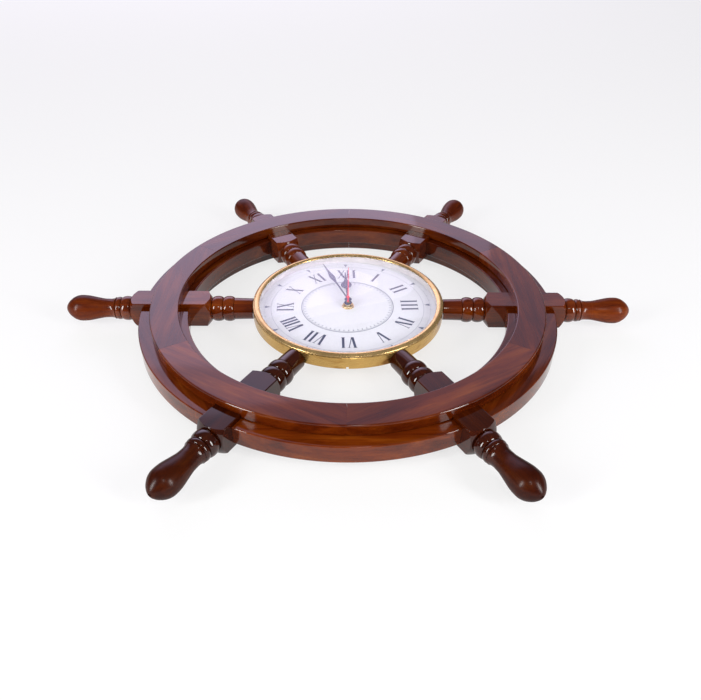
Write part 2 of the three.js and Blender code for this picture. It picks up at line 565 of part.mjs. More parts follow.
function buildFixings() {
  addMesh('threaded_bushing', toGeometry(tube(BUSHING_RADIUS, BUSHING_BORE,
    MOVEMENT_FRONT_Z + SEAT_GAP, BUSHING_TOP_Z, 24)), 'brass');
  addMesh('centre_nut', toGeometry(turned([
    [HUB_HOLE_RADIUS, NUT_Z],
    [NUT_FLANGE_RADIUS, NUT_Z],
    [NUT_FLANGE_RADIUS, NUT_Z + NUT_FLANGE_THICKNESS],
    [NUT_RADIUS, NUT_Z + NUT_FLANGE_THICKNESS],
    [NUT_RADIUS, NUT_Z + NUT_THICKNESS - 0.5],
    [NUT_RADIUS - 0.5, NUT_Z + NUT_THICKNESS],
    [HUB_HOLE_RADIUS, NUT_Z + NUT_THICKNESS],
    [HUB_HOLE_RADIUS, NUT_Z],
  ], 24)), 'brass');
}

// Toothed wheel: the tips lie on the radius, the roots one tooth depth inside it.
function toothed(radius, teeth, z0, z1, x, y) {
  const points = [];
  for (let i = 0; i < 2 * teeth; i += 1) {
    const reach = i % 2 === 0 ? radius : radius - TOOTH_DEPTH;
    points.push(polar(reach, (180 * i) / teeth));
  }
  return plate(points, z0, z1).translate([x, y, 0]);
}

const wheelAt = (layer, radius, teeth, [x, y]) =>
  toothed(radius, teeth, layerZ(layer), layerZ(layer) + WHEEL_THICKNESS, x, y);
const pinionAt = (layer, radius, [x, y]) =>
  rod(radius, layerZ(layer) - PINION_OVERHANG, layerZ(layer) + WHEEL_THICKNESS + PINION_OVERHANG, 10, x, y);
const AXIS = [0, 0];

function handHeight(rise) {
  return DIAL_FACE_Z + rise;
}

function buildTrain() {
  const secondTop = handHeight(SECOND_HAND_RISE) - SEAT_GAP;
  addMesh('seconds_wheel', toGeometry(union([
    rod(ARBOR_RADIUS, ARBOR_FOOT_Z, secondTop, 10),
    wheelAt(0, SECONDS_WHEEL_RADIUS, 40, AXIS),
    pinionAt(2, SECONDS_PINION_RADIUS, AXIS),
  ])), 'brass');
  addMesh('step_wheel', toGeometry(union([
    rod(ARBOR_RADIUS, ARBOR_FOOT_Z, layerZ(2) - SEAT_GAP, 10, ...STEP_ARBOR),
    wheelAt(1, STEP_WHEEL_RADIUS, 36, STEP_ARBOR),
    pinionAt(0, STEP_PINION_RADIUS, STEP_ARBOR),
  ])), 'white_plastic');
  const magnetZ = layerZ(2);
  addMesh('rotor', toGeometry(union([
    rod(ARBOR_RADIUS, ARBOR_FOOT_Z, magnetZ + ROTOR_HEIGHT + 0.6, 10, ...ROTOR_ARBOR),
    pinionAt(1, ROTOR_PINION_RADIUS, ROTOR_ARBOR),
    rod(ROTOR_RADIUS, magnetZ, magnetZ + ROTOR_HEIGHT, 16, ...ROTOR_ARBOR),
  ])), 'steel');
  addMesh('third_wheel', toGeometry(union([
    rod(ARBOR_RADIUS, ARBOR_FOOT_Z, layerZ(4) - SEAT_GAP, 10, ...THIRD_ARBOR),
    wheelAt(2, THIRD_WHEEL_RADIUS, 60, THIRD_ARBOR),
    pinionAt(3, THIRD_PINION_RADIUS, THIRD_ARBOR),
  ])), 'white_plastic');
  const cannonTop = handHeight(MINUTE_HAND_RISE) - SEAT_GAP;
  const cannonBottom = layerZ(3) - PINION_OVERHANG;
  addMesh('centre_wheel', toGeometry(cut(union([
    rod(CANNON_RADIUS, cannonBottom, cannonTop, 14),
    wheelAt(3, CENTRE_WHEEL_RADIUS, 64, AXIS),
    pinionAt(4, CANNON_PINION_RADIUS, AXIS),
  ]), [rod(CANNON_BORE, cannonBottom - 1, cannonTop + 1, 14)])), 'brass');
  addMesh('motion_wheel', toGeometry(union([
    rod(ARBOR_RADIUS, ARBOR_FOOT_Z, layerZ(5) + WHEEL_THICKNESS + 0.6, 10, ...MOTION_ARBOR),
    wheelAt(4, MOTION_WHEEL_RADIUS, 36, MOTION_ARBOR),
    pinionAt(5, MOTION_PINION_RADIUS, MOTION_ARBOR),
  ])), 'white_plastic');
  const pipeTop = handHeight(HOUR_HAND_RISE) - SEAT_GAP;
  const pipeBottom = layerZ(5) - PINION_OVERHANG + 0.1;
  addMesh('hour_wheel', toGeometry(cut(union([
    rod(HOUR_PIPE_RADIUS, pipeBottom, pipeTop, 16),
    wheelAt(5, HOUR_WHEEL_RADIUS, 40, AXIS),
  ]), [rod(HOUR_PIPE_BORE, pipeBottom - 1, pipeTop + 1, 16)])), 'white_plastic');
  const knobTop = MOVEMENT_BACK_Z - SEAT_GAP;
  addMesh('setting_knob', toGeometry(union([
    rod(KNOB_SHAFT_RADIUS, knobTop - 0.5, layerZ(4) + WHEEL_THICKNESS + PINION_OVERHANG, 10,
      ...SETTING_ARBOR),
    pinionAt(4, SETTING_PINION_RADIUS, SETTING_ARBOR),
    toothed(KNOB_RADIUS, 20, knobTop - KNOB_THICKNESS, knobTop, ...SETTING_ARBOR),
  ])), 'white_plastic');
}

// Stator plate with a round window for the rotor, and the wound coil standing beside it.
const STATOR_Z = layerZ(2) + 0.7;
const STATOR_THICKNESS = 1;
const COIL_RADIUS = 3.2;
const COIL_LENGTH = 22;
const COIL_CORE_RADIUS = 1;
const STATOR_MARGIN = 3;         // iron past the magnet and past the coil

function buildMotor() {
  const right = ROTOR_ARBOR[0] + ROTOR_RADIUS + STATOR_MARGIN;
  const left = right - COIL_LENGTH - 3 * STATOR_MARGIN;
  const low = ROTOR_ARBOR[1] - ROTOR_RADIUS - 1.4;
  const high = ROTOR_ARBOR[1] + ROTOR_RADIUS + 1.4;
  const coilY = high + SEAT_GAP + COIL_RADIUS;
  const legTop = MOVEMENT_SIZE / 2 - MOVEMENT_WALL - SEAT_GAP;
  const legWidth = STATOR_MARGIN;
  const top = STATOR_Z + STATOR_THICKNESS;
  addMesh('stator', toGeometry(cut(union([
    box(left, right, low, high, STATOR_Z, top),
    box(left, left + legWidth, low, legTop, STATOR_Z, top),
    box(right - legWidth, right, low, legTop, STATOR_Z, top),
  ]), [rod(ROTOR_RADIUS + 0.5, STATOR_Z - 1, top + 1, 20, ...ROTOR_ARBOR)])), 'steel');
  const middle = STATOR_Z + STATOR_THICKNESS / 2;
  const start = left + legWidth + SEAT_GAP;
  const stop = right - legWidth - SEAT_GAP;
  const coil = turned([
    [0, start],
    [COIL_CORE_RADIUS + 0.8, start],
    [COIL_CORE_RADIUS + 0.8, start + 1],
    [COIL_RADIUS, start + 1],
    [COIL_RADIUS, stop - 1],
    [COIL_CORE_RADIUS + 0.8, stop - 1],
    [COIL_CORE_RADIUS + 0.8, stop],
    [0, stop],
  ], 16).rotate([0, 90, 0]).translate([0, coilY, middle]);
  addMesh('coil', toGeometry(coil), 'copper');
}

const CIRCUIT_THICKNESS = 1;

function buildCircuit() {
  const bottom = ARBOR_FOOT_Z;
  const top = bottom + CIRCUIT_THICKNESS;
  const high = MOVEMENT_SIZE / 2 - MOVEMENT_WALL - SEAT_GAP;
  const low = ROTOR_ARBOR[1] + 2.5;
  const right = MOVEMENT_SIZE / 2 - MOVEMENT_WALL - 4;
  const crystal = rod(1, right - 8, right - 2, 10).rotate([0, 90, 0])
    .translate([0, high - 3, top + 0.9]);
  const chip = box(right - 7, right - 3, low + 1, low + 4, top - 0.1, top + 1.1);
  addMesh('circuit_board', toGeometry(union([
    box(-right, right, low, high, bottom, top), crystal, chip,
  ])), 'green_board');
}

function buildBattery() {
  const length = BATTERY_BODY_LENGTH + BATTERY_NUB_LENGTH;
  const cell = turned([
    [0, -length / 2],
    [BATTERY_RADIUS - 0.6, -length / 2],
    [BATTERY_RADIUS, -length / 2 + 0.6],
    [BATTERY_RADIUS, length / 2 - BATTERY_NUB_LENGTH - 0.6],
    [BATTERY_RADIUS - 0.6, length / 2 - BATTERY_NUB_LENGTH],
    [BATTERY_NUB_RADIUS, length / 2 - BATTERY_NUB_LENGTH],
    [BATTERY_NUB_RADIUS, length / 2],
    [0, length / 2],
  ], 24).rotate([0, 90, 0]).translate([0, BATTERY_Y, BATTERY_Z]);
  addMesh('battery', toGeometry(cell), 'cell_jacket');
  const contactHalf = 5;
  for (const [name, side] of [['battery_contact_positive', 1], ['battery_contact_negative', -1]]) {
    const inner = side * (length / 2 + SEAT_GAP);
    const outer = inner + side * CONTACT_THICKNESS;
    addMesh(name, toGeometry(box(Math.min(inner, outer), Math.max(inner, outer),
      BATTERY_Y - contactHalf, BATTERY_Y + contactHalf, BATTERY_Z - contactHalf,
      INSIDE_FRONT_Z - SEAT_GAP)), 'steel');
  }
}

// Hands.
// Outline of one side of a hand as [distance along the hand, half width] pairs.
function handOutline(side) {
  const right = side.map(([along, half]) => [half, along]);
  const left = side.slice().reverse().filter(([, half]) => half > 0).map(([along, half]) => [-half, along]);
  return [...right, ...left];
}

// The same pairs in millimetres, from shares of the hand's length and of its half width.
const shaped = (length, halfWidth, shares) =>
  shares.map(([along, across]) => [along * length, across * halfWidth]);

function placeHand(solid, degreesPastTwelve) {
  return solid.rotate([0, 0, -degreesPastTwelve]);
}

// Flat hand with a boss at the wheel axis; the boss sits over the end of its own arbor.
function handSolid(outline, bossRadius, z, boreRadius) {
  const blade = plate(handOutline(outline), z, z + HAND_THICKNESS);
  const boss = rod(bossRadius, z, z + HAND_THICKNESS, 20);
  const solid = union([blade, boss]);
  return boreRadius ? cut(solid, [rod(boreRadius, z - 1, z + 2, 14)]) : solid;
}

function buildHands() {
  const hour = shaped(HOUR_HAND_LENGTH, HOUR_HAND_HALF_WIDTH, [[-0.015, 0.16], [0.44, 0.16],
    [0.49, 0.6], [0.545, 0.98], [0.6, 1], [0.65, 0.74], [0.71, 0.39], [0.78, 0.25], [1, 0.1]]);
  const hourZ = handHeight(HOUR_HAND_RISE);
  addMesh('hour_hand', toGeometry(placeHand(handSolid(hour, HOUR_BOSS_RADIUS, hourZ,
    CANNON_RADIUS + SEAT_GAP), HOUR_HAND_TURN)), 'navy_paint');
  const minute = shaped(MINUTE_HAND_LENGTH, MINUTE_HAND_HALF_WIDTH, [[-0.012, 0.27], [0.42, 0.3],
    [0.5, 0.5], [0.575, 0.87], [0.63, 1], [0.7, 0.73], [0.78, 0.4], [1, 0.12]]);
  const minuteZ = handHeight(MINUTE_HAND_RISE);
  addMesh('minute_hand', toGeometry(placeHand(handSolid(minute, MINUTE_BOSS_RADIUS, minuteZ,
    ARBOR_RADIUS + SEAT_GAP), MINUTE_HAND_TURN)), 'navy_paint');
  const second = shaped(SECOND_HAND_LENGTH, SECOND_HAND_HALF_WIDTH,
    [[-SECOND_TAIL_LENGTH / SECOND_HAND_LENGTH, 1], [0, 1], [1, 0.5]]);
  const secondZ = handHeight(SECOND_HAND_RISE);
  const cap = rod(SECOND_CAP_RADIUS, secondZ, secondZ + 2 * HAND_THICKNESS, 14);
  addMesh('second_hand', toGeometry(placeHand(union([handSolid(second, SECOND_CAP_RADIUS, secondZ, 0),
    cap]), SECOND_HAND_TURN)), 'red_paint');
}

// Hanger let into the back of the rim at twelve o'clock.
function buildHanger() {
  const z0 = SEAT_GAP;
  const z1 = z0 + HANGER_THICKNESS;
  const half = HANGER_HEIGHT / 2;
  const keyholeY = HANGER_Y - HANGER_SLOT_LENGTH / 2;
  const slotTop = keyholeY + HANGER_SLOT_LENGTH;
  const body = box(-HANGER_WIDTH / 2, HANGER_WIDTH / 2, HANGER_Y - half, HANGER_Y + half, z0, z1);
  const keyhole = union([
    rod(HANGER_KEYHOLE_RADIUS, z0 - 1, z1 + 1, 24, 0, keyholeY),
    box(-HANGER_SLOT_RADIUS, HANGER_SLOT_RADIUS, keyholeY, slotTop, z0 - 1, z1 + 1),
    rod(HANGER_SLOT_RADIUS, z0 - 1, z1 + 1, 16, 0, slotTop),
  ]);
  const screwX = [-HANGER_SCREW_SPREAD / 2, HANGER_SCREW_SPREAD / 2];
  const sink = 0.9;               // height of the countersunk head
  const seat = (x) => turned([
    [0, z0 - 1], [HANGER_SCREW_HEAD_RADIUS + SEAT_GAP, z0 - 1], [HANGER_SCREW_HEAD_RADIUS + SEAT_GAP, z0],
    [HANGER_SCREW_RADIUS + SEAT_GAP, z0 + sink + 0.2], [HANGER_SCREW_RADIUS + SEAT_GAP, z1 + 1], [0, z1 + 1],
  ], 16).translate([x, HANGER_Y, 0]);
  addMesh('hanger_plate', toGeometry(cut(body, [keyhole, ...screwX.map(seat)])), 'brass');
  const screw = (x) => turned([
    [0, z0], [HANGER_SCREW_HEAD_RADIUS, z0], [HANGER_SCREW_RADIUS, z0 + sink],
    [HANGER_SCREW_RADIUS, HANGER_SCREW_LENGTH - 2], [0, HANGER_SCREW_LENGTH],
  ], 16).translate([x, HANGER_Y, 0]);
  screwX.forEach((x, i) => addMesh(`hanger_screw_${i + 1}`, toGeometry(screw(x)), 'steel'));
}

buildRim();
buildSpokes();
buildSpokeScrews();
buildCase();
buildBezel();
buildGlass();
buildDialStack();
buildShells();
buildFixings();
buildTrain();
buildMotor();
buildCircuit();
buildBattery();
buildHands();
buildHanger();

export default object;
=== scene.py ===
import json
import math

import bmesh
import bpy
import numpy as np
from mathutils import Matrix, Vector

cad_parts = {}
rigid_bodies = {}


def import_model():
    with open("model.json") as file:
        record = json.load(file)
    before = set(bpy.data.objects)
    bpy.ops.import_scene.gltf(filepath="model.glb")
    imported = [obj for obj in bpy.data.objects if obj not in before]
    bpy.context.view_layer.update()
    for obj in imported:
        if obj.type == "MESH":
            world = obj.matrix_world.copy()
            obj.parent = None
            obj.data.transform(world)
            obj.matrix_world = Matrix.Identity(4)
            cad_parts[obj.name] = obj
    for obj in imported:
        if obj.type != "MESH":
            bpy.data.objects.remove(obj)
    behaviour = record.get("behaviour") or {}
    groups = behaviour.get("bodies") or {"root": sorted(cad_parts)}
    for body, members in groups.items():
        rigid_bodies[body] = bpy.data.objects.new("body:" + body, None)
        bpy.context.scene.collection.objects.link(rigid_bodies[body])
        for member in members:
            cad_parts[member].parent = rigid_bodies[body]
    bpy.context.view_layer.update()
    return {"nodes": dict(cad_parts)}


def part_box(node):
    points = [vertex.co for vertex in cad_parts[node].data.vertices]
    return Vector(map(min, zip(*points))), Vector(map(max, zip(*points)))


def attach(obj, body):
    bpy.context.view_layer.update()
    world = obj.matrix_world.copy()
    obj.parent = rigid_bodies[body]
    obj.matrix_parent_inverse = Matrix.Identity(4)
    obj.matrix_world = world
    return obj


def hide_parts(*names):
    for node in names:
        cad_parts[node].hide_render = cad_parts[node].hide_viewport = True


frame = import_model()

# Studio. The wheel lies on its back on a plain pale floor, shown partly as pure white. A lavender
# glow stands behind it to the left, a tall narrow lamp at each side and a small lamp near the
# camera; two panels that no reflection shows and a dim world fill the shadows.
PHOTO_WIDTH = 701
FOCAL_LENGTH_PIXELS = 677.4
SENSOR_WIDTH = 36.0
CAMERA_PLACE = Vector((0.0029, -0.6167, 0.4279))
CAMERA_TILT = math.radians(53.16)
CAMERA_ROLL = math.radians(0.29)
WHITE = (1.0, 1.0, 1.0)
WORLD_COLOUR = (0.96, 0.95, 1.0)
WORLD_STRENGTH = 0.13
GLOW_DIRECTION = Vector((-0.2306, 0.8607, 0.4540))
GLOW_COLOUR = (0.82, 0.70, 1.0)
GLOW_PANELS = (
    ("back_glow_core", 3.0, (2.18, 1.28), 5.6),
    ("back_glow_middle", 3.05, (3.19, 1.83), 11.8),
    ("back_glow_wide", 3.1, (5.4, 2.67), 28.8),
)
FILL_PANELS = (
    ("overhead_panel", (0.0, -0.5, 2.4), (2.4, 2.0), 8.0),
    ("front_fill", (0.0, -2.0, 1.2), (2.6, 1.6), 6.0),
)
SIDE_LAMP_X = 1.15
SIDE_LAMP_YZ = (-0.85, 0.6)
SIDE_LAMP_SIZE = (0.32, 1.0)
SIDE_LAMP_POWER = 15.5
FRONT_LAMP_PLACE = (0.12, -0.95, 1.1)
FRONT_LAMP_SIZE = (0.2, 0.2)
FRONT_LAMP_POWER = 1.6
FRONT_LAMP_COLOUR = (1.0, 0.98, 0.95)
FLOOR_SIZE = 14.0
FLOOR_DROP = 0.0003
FLOOR_COLOUR = (0.97, 0.97, 0.97)
FLOOR_ROUGHNESS = 0.85
FLOOR_WHITENESS = 0.72


def deselect_all():
    """Leaves edit mode and selects nothing, before anything new is added."""
    if bpy.context.object and bpy.context.object.mode == "EDIT":
        bpy.ops.object.mode_set(mode="OBJECT")
    bpy.ops.object.select_all(action="DESELECT")


def new_material(name, colour=WHITE, roughness=0.5, metallic=0.0):
    """Material with one Principled shader; returns the material, its nodes, links and shader."""
    material = bpy.data.materials.new(name)
    material.use_nodes = True
    nodes, links = material.node_tree.nodes, material.node_tree.links
    shader = nodes["Principled BSDF"]
    shader.inputs["Base Color"].default_value = (*colour, 1.0)
    shader.inputs["Roughness"].default_value = roughness
    shader.inputs["Metallic"].default_value = metallic
    return material, nodes, links, shader


def soft_light(name, place, size, power, colour=WHITE):
    """Oval panel that faces the middle of the wheel."""
    deselect_all()
    bpy.ops.object.light_add(type="AREA", location=place)
    lamp = bpy.context.object
    lamp.name = name
    lamp.data.shape = "ELLIPSE"
    lamp.data.size, lamp.data.size_y = size
    lamp.data.energy = power
    lamp.data.color = colour
    lamp.rotation_euler = (-Vector(place)).to_track_quat("-Z", "Y").to_euler()
    lamp.visible_camera = False
    return lamp


deselect_all()
bpy.ops.object.camera_add(location=CAMERA_PLACE)
camera = bpy.context.object
camera.rotation_euler = (
    Matrix.Rotation(CAMERA_TILT, 3, "X") @ Matrix.Rotation(CAMERA_ROLL, 3, "Z")
).to_euler()
camera.data.sensor_width = SENSOR_WIDTH
camera.data.lens = FOCAL_LENGTH_PIXELS / PHOTO_WIDTH * SENSOR_WIDTH
bpy.context.scene.camera = camera
bpy.context.scene.view_settings.view_transform = "Standard"

world = bpy.data.worlds.new("studio")
world.use_nodes = True
backdrop = world.node_tree.nodes["Background"]
backdrop.inputs["Color"].default_value = (*WORLD_COLOUR, 1.0)
backdrop.inputs["Strength"].default_value = WORLD_STRENGTH
bpy.context.scene.world = world

for name, distance, size, power in GLOW_PANELS:
    soft_light(name, GLOW_DIRECTION * distance, size, power, GLOW_COLOUR)
for name, place, size, power in FILL_PANELS:
    soft_light(name, place, size, power).visible_glossy = False
for name, x in (("left_lamp", -SIDE_LAMP_X), ("right_lamp", SIDE_LAMP_X)):
    soft_light(name, (x, *SIDE_LAMP_YZ), SIDE_LAMP_SIZE, SIDE_LAMP_POWER)
soft_light("front_lamp", FRONT_LAMP_PLACE, FRONT_LAMP_SIZE, FRONT_LAMP_POWER, FRONT_LAMP_COLOUR)

deselect_all()
bpy.ops.mesh.primitive_plane_add(size=FLOOR_SIZE, location=(0, 0, -FLOOR_DROP))
floor = bpy.context.object
floor.name = "floor"
material, nodes, links, shader = new_material("pale_floor", FLOOR_COLOUR, FLOOR_ROUGHNESS)
shader.inputs["Specular IOR Level"].default_value = 0.0
path = nodes.new("ShaderNodeLightPath")
seen = path.outputs["Is Camera Ray"]
for other in ("Is Glossy Ray", "Is Transmission Ray"):
    either = nodes.new("ShaderNodeMath")
    either.operation = "MAXIMUM"
    links.new(seen, either.inputs[0])
    links.new(path.outputs[other], either.inputs[1])
    seen = either.outputs["Value"]
share = nodes.new("ShaderNodeMath")
share.operation = "MULTIPLY"
share.inputs[1].default_value = FLOOR_WHITENESS
links.new(seen, share.inputs[0])
blend = nodes.new("ShaderNodeMixShader")
links.new(share.outputs["Value"], blend.inputs["Fac"])
links.new(shader.outputs["BSDF"], blend.inputs[1])
links.new(nodes.new("ShaderNodeEmission").outputs["Emission"], blend.inputs[2])
links.new(blend.outputs["Shader"], nodes["Material Output"].inputs["Surface"])
floor.data.materials.append(material)

# Felloes. Six wide curved boards of solid red-brown rosewood, one between each two spokes. Their
# ends are sawn parallel to the spokes and glued to the flanks of the spokes' square parts.
MM = 0.001
SPOKE_COUNT = 6
SIXTH = 2 * math.pi / SPOKE_COUNT
RING_RADIUS = 192.5 * MM
RING_WIDTH = 29 * MM
RING_INNER = RING_RADIUS - RING_WIDTH / 2
RING_OUTER = RING_RADIUS + RING_WIDTH / 2
FELLOE_INNER = RING_INNER - 8.5 * MM
FELLOE_OUTER = RING_OUTER + 13 * MM
FELLOE_EDGE = 1.1 * MM
BLOCK_HALF = 14 * MM
GLUE_LINE = 0.08 * MM
BOARD_STEPS = 48
MERGE_DISTANCE = 1e-6
TANGENT, RADIAL = (0.0, 1.0, 0.0), (1.0, 0.0, 0.0)
GRAIN_SHIFT = np.array((0.731, 0.173, 0.419))
FELLOE_GRAIN = 1
# Board tones are set one by one: partly the wood's own differences, partly painted light and shade,
# with boards lighter or darker as more or less light falls on them.
FELLOE_TONES_AND_SHADING = (0.80, 0.75, 0.65, 0.85, 1.00, 0.90)
GRIP_WEAR_START, GRIP_WEAR_END = 248 * MM, 264 * MM
RIM_COAT = {"Coat Roughness": 0.06, "Coat Weight": 1.0}
GRIP_COAT = {"Coat Roughness": 0.28, "Coat Weight": 0.4}


def heights(node):
    """Heights of the foot and of the top of a solid in the CAD model."""
    low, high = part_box(node)
    return low.z, high.z


def use(piece):
    """Selects one piece alone and makes it the active one."""
    deselect_all()
    piece.select_set(True)
    bpy.context.view_layer.objects.active = piece


def apply_modifier(piece, kind, **settings):
    """Adds a modifier of a kind with its settings and applies it at once."""
    use(piece)
    modifier = piece.modifiers.new(kind.lower(), kind)
    for setting, value in settings.items():
        setattr(modifier, setting, value)
    bpy.ops.object.modifier_apply(modifier=modifier.name)


def edit(piece):
    """Opens edit mode with everything selected."""
    use(piece)
    bpy.ops.object.mode_set(mode="EDIT")
    bpy.ops.mesh.select_all(action="SELECT")


def close_up(piece):
    """Merges doubles, turns all faces outwards and leaves edit mode."""
    bpy.ops.mesh.select_all(action="SELECT")
    bpy.ops.mesh.remove_doubles(threshold=MERGE_DISTANCE)
    bpy.ops.mesh.normals_make_consistent(inside=False)
    bpy.ops.object.mode_set(mode="OBJECT")


def smooth(piece, angle=32):
    """Shades smooth across edges blunter than an angle in degrees."""
    use(piece)
    bpy.ops.object.shade_smooth_by_angle(angle=math.radians(angle))
    apply_modifier(piece, "WEIGHTED_NORMAL", keep_sharp=True)


def bent_board(name, inner, outer, low, high, edge):
    """Board with rounded edges bent over a sixth of the wheel, its middle at three o'clock."""
    deselect_all()
    bpy.ops.mesh.primitive_plane_add(size=1, location=((inner + outer) / 2, 0, (low + high) / 2),
                                     rotation=(math.pi / 2, 0, 0))
    board = bpy.context.object
    board.name = name
    board.scale = (outer - inner, high - low, 1)
    bpy.ops.object.transform_apply(location=True, rotation=True, scale=True)
    board.rotation_euler.z = -SIXTH / 2
    bpy.ops.object.transform_apply(rotation=True)
    edit(board)
    bpy.ops.mesh.bevel(offset=edge, segments=4, affect="VERTICES")
    bpy.ops.mesh.spin(steps=BOARD_STEPS, angle=-SIXTH, center=(0, 0, 0), axis=(0, 0, 1))
    close_up(board)
    return board


def saw_ends(board, gap):
    """Saws both ends of a bent board parallel to the spokes beside it, gap away from their axes."""
    for side in (-1, 1):
        spoke_axis = Vector((math.cos(SIXTH / 2), side * math.sin(SIXTH / 2), 0))
        outward = Vector((-spoke_axis.y, spoke_axis.x, 0)) * side
        edit(board)
        bpy.ops.mesh.bisect(plane_co=-outward * gap, plane_no=outward, use_fill=True,
                            clear_outer=True, threshold=MERGE_DISTANCE)
        close_up(board)


def give_grain(piece, turn, along, across, number, tone_and_shading):
    """Stores each point's place in the numbered board it was cut from, and that board's tone, which
    holds painted light and shade as well as the wood's own tone.
    """
    for name in ("grain", "tone_and_shading"):
        if name in piece.data.attributes:
            piece.data.attributes.remove(piece.data.attributes[name])
    count = len(piece.data.vertices)
    points = np.empty(count * 3, np.float32)
    piece.data.vertices.foreach_get("co", points)
    axes = np.array([turn @ Vector(along), turn @ Vector(across), (0, 0, 1)])
    grain = points.reshape(-1, 3) @ axes.T + GRAIN_SHIFT * number
    attribute = piece.data.attributes.new("grain", "FLOAT_VECTOR", "POINT")
    attribute.data.foreach_set("vector", grain.astype(np.float32).ravel())
    attribute = piece.data.attributes.new("tone_and_shading", "FLOAT", "POINT")
    attribute.data.foreach_set("value", np.full(count, tone_and_shading, np.float32))


def copies_round(piece, stem, node, first_turn, along, across, first_number, tones_and_shading):
    """A copy of a wooden piece for each sixth of the wheel, with grain of its own."""
    for step in range(SPOKE_COUNT):
        use(piece)
        bpy.ops.object.duplicate()
        copy = bpy.context.object
        copy.name = f"{stem}_{step + 1}"
        copy.rotation_euler.z = first_turn + step * SIXTH
        bpy.ops.object.transform_apply(rotation=True)
        turn = Matrix.Rotation(first_turn + step * SIXTH, 3, "Z")
        give_grain(copy, turn, along, across, first_number + step, tones_and_shading[step])
        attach(copy, "clock")
        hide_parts(f"{node}_{step + 1}")
    bpy.data.objects.remove(piece)


def noise(nodes, links, source, scale, detail=2.0, distortion=0.0, roughness=0.5):
    """Noise stretched by a scale for each axis, read from a vector output; gives its factor."""
    mapping = nodes.new("ShaderNodeMapping")
    mapping.inputs["Scale"].default_value = scale
    links.new(source, mapping.inputs["Vector"])
    texture = nodes.new("ShaderNodeTexNoise")
    texture.inputs["Scale"].default_value = 1.0
    texture.inputs["Detail"].default_value = detail
    texture.inputs["Distortion"].default_value = distortion
    texture.inputs["Roughness"].default_value = roughness
    links.new(mapping.outputs["Vector"], texture.inputs["Vector"])
    return texture.outputs["Fac"]


def ramp(nodes, links, factor, *stops):
    """Colour ramp through stops, each a position and a colour."""
    band = nodes.new("ShaderNodeValToRGB")
    while len(band.color_ramp.elements) < len(stops):
        band.color_ramp.elements.new(0.5)
    for element, (position, colour) in zip(band.color_ramp.elements, stops):
        element.position = position
        element.color = (*colour, 1.0)
    links.new(factor, band.inputs["Fac"])
    return band.outputs["Color"]


def multiply(nodes, links, amount, first, second):
    """First colour darkened by the second, in full or in part."""
    blend = nodes.new("ShaderNodeMix")
    blend.data_type = "RGBA"
    blend.blend_type = "MULTIPLY"
    blend.inputs["Factor"].default_value = amount
    links.new(first, blend.inputs["A"])
    links.new(second, blend.inputs["B"])
    return blend.outputs["Result"]


def bump(nodes, links, height, strength, distance, under=None):
    """Normal of a rippled surface, on top of another normal if one is given."""
    ripple = nodes.new("ShaderNodeBump")
    ripple.inputs["Strength"].default_value = strength
    ripple.inputs["Distance"].default_value = distance
    links.new(height, ripple.inputs["Height"])
    if under:
        links.new(under, ripple.inputs["Normal"])
    return ripple.outputs["Normal"]


def stored(nodes, name):
    """Node that reads what give_grain has stored."""
    attribute = nodes.new("ShaderNodeAttribute")
    attribute.attribute_name = name
    return attribute


def varnished_wood():
    """Rosewood with figure, streaks, pores and clouds, each board of its own tone with painted
    light and shade mixed in, under a thick gloss varnish that hands have rubbed duller on the
    grips."""
    material, nodes, links, shader = new_material("varnished_rosewood", roughness=0.25)
    grain, tone_and_shading = stored(nodes, "grain"), stored(nodes, "tone_and_shading")
    place = grain.outputs["Vector"]
    figure = ramp(nodes, links, noise(nodes, links, place, (11, 90, 90), 5, 0.35, 0.6),
                  (0.28, (0.080, 0.0095, 0.0009)), (0.45, (0.135, 0.0195, 0.0015)),
                  (0.60, (0.195, 0.0350, 0.0024)), (0.80, (0.300, 0.0760, 0.0060)))
    streaks = ramp(nodes, links, noise(nodes, links, place, (5, 420, 420), 3),
                   (0.30, (0.55, 0.42, 0.40)), (0.55, WHITE))
    pore_figure = noise(nodes, links, place, (60, 1500, 1500))
    pores = ramp(nodes, links, pore_figure, (0.33, (0.35, 0.30, 0.28)), (0.42, WHITE))
    clouds = ramp(nodes, links, noise(nodes, links, place, (10, 22, 22)),
                  (0.33, (0.55, 0.45, 0.45)), (0.66, WHITE))
    # Each board's tone darkens its colour; it holds painted light and shade as well as the wood's
    # own tone.
    board_tones_and_shading = ramp(nodes, links, tone_and_shading.outputs["Fac"],
                  (0.0, (0.16, 0.13, 0.13)), (0.5, (0.56, 0.50, 0.50)), (1.0, WHITE))
    colour = multiply(nodes, links, 0.5, figure, streaks)
    colour = multiply(nodes, links, 0.5, colour, pores)
    colour = multiply(nodes, links, 1.0, colour, clouds)
    colour = multiply(nodes, links, 1.0, colour, board_tones_and_shading)
    links.new(colour, shader.inputs["Base Color"])
    ripple = bump(nodes, links, noise(nodes, links, place, (70, 150, 150), 3), 0.35, 0.0004)
    sunk_pores = bump(nodes, links, pore_figure, 0.12, 0.00008, ripple)
    links.new(sunk_pores, shader.inputs["Normal"])
    shader.inputs["Specular IOR Level"].default_value = 0.0
    reach = nodes.new("ShaderNodeVectorMath")
    reach.operation = "LENGTH"
    links.new(nodes.new("ShaderNodeTexCoord").outputs["Object"], reach.inputs[0])
    for socket in RIM_COAT:
        wear = nodes.new("ShaderNodeMapRange")
        for name, value in (("From Min", GRIP_WEAR_START), ("From Max", GRIP_WEAR_END),
                            ("To Min", RIM_COAT[socket]), ("To Max", GRIP_COAT[socket])):
            wear.inputs[name].default_value = value
        links.new(reach.outputs["Value"], wear.inputs["Value"])
        links.new(wear.outputs["Result"], shader.inputs[socket])
    return material


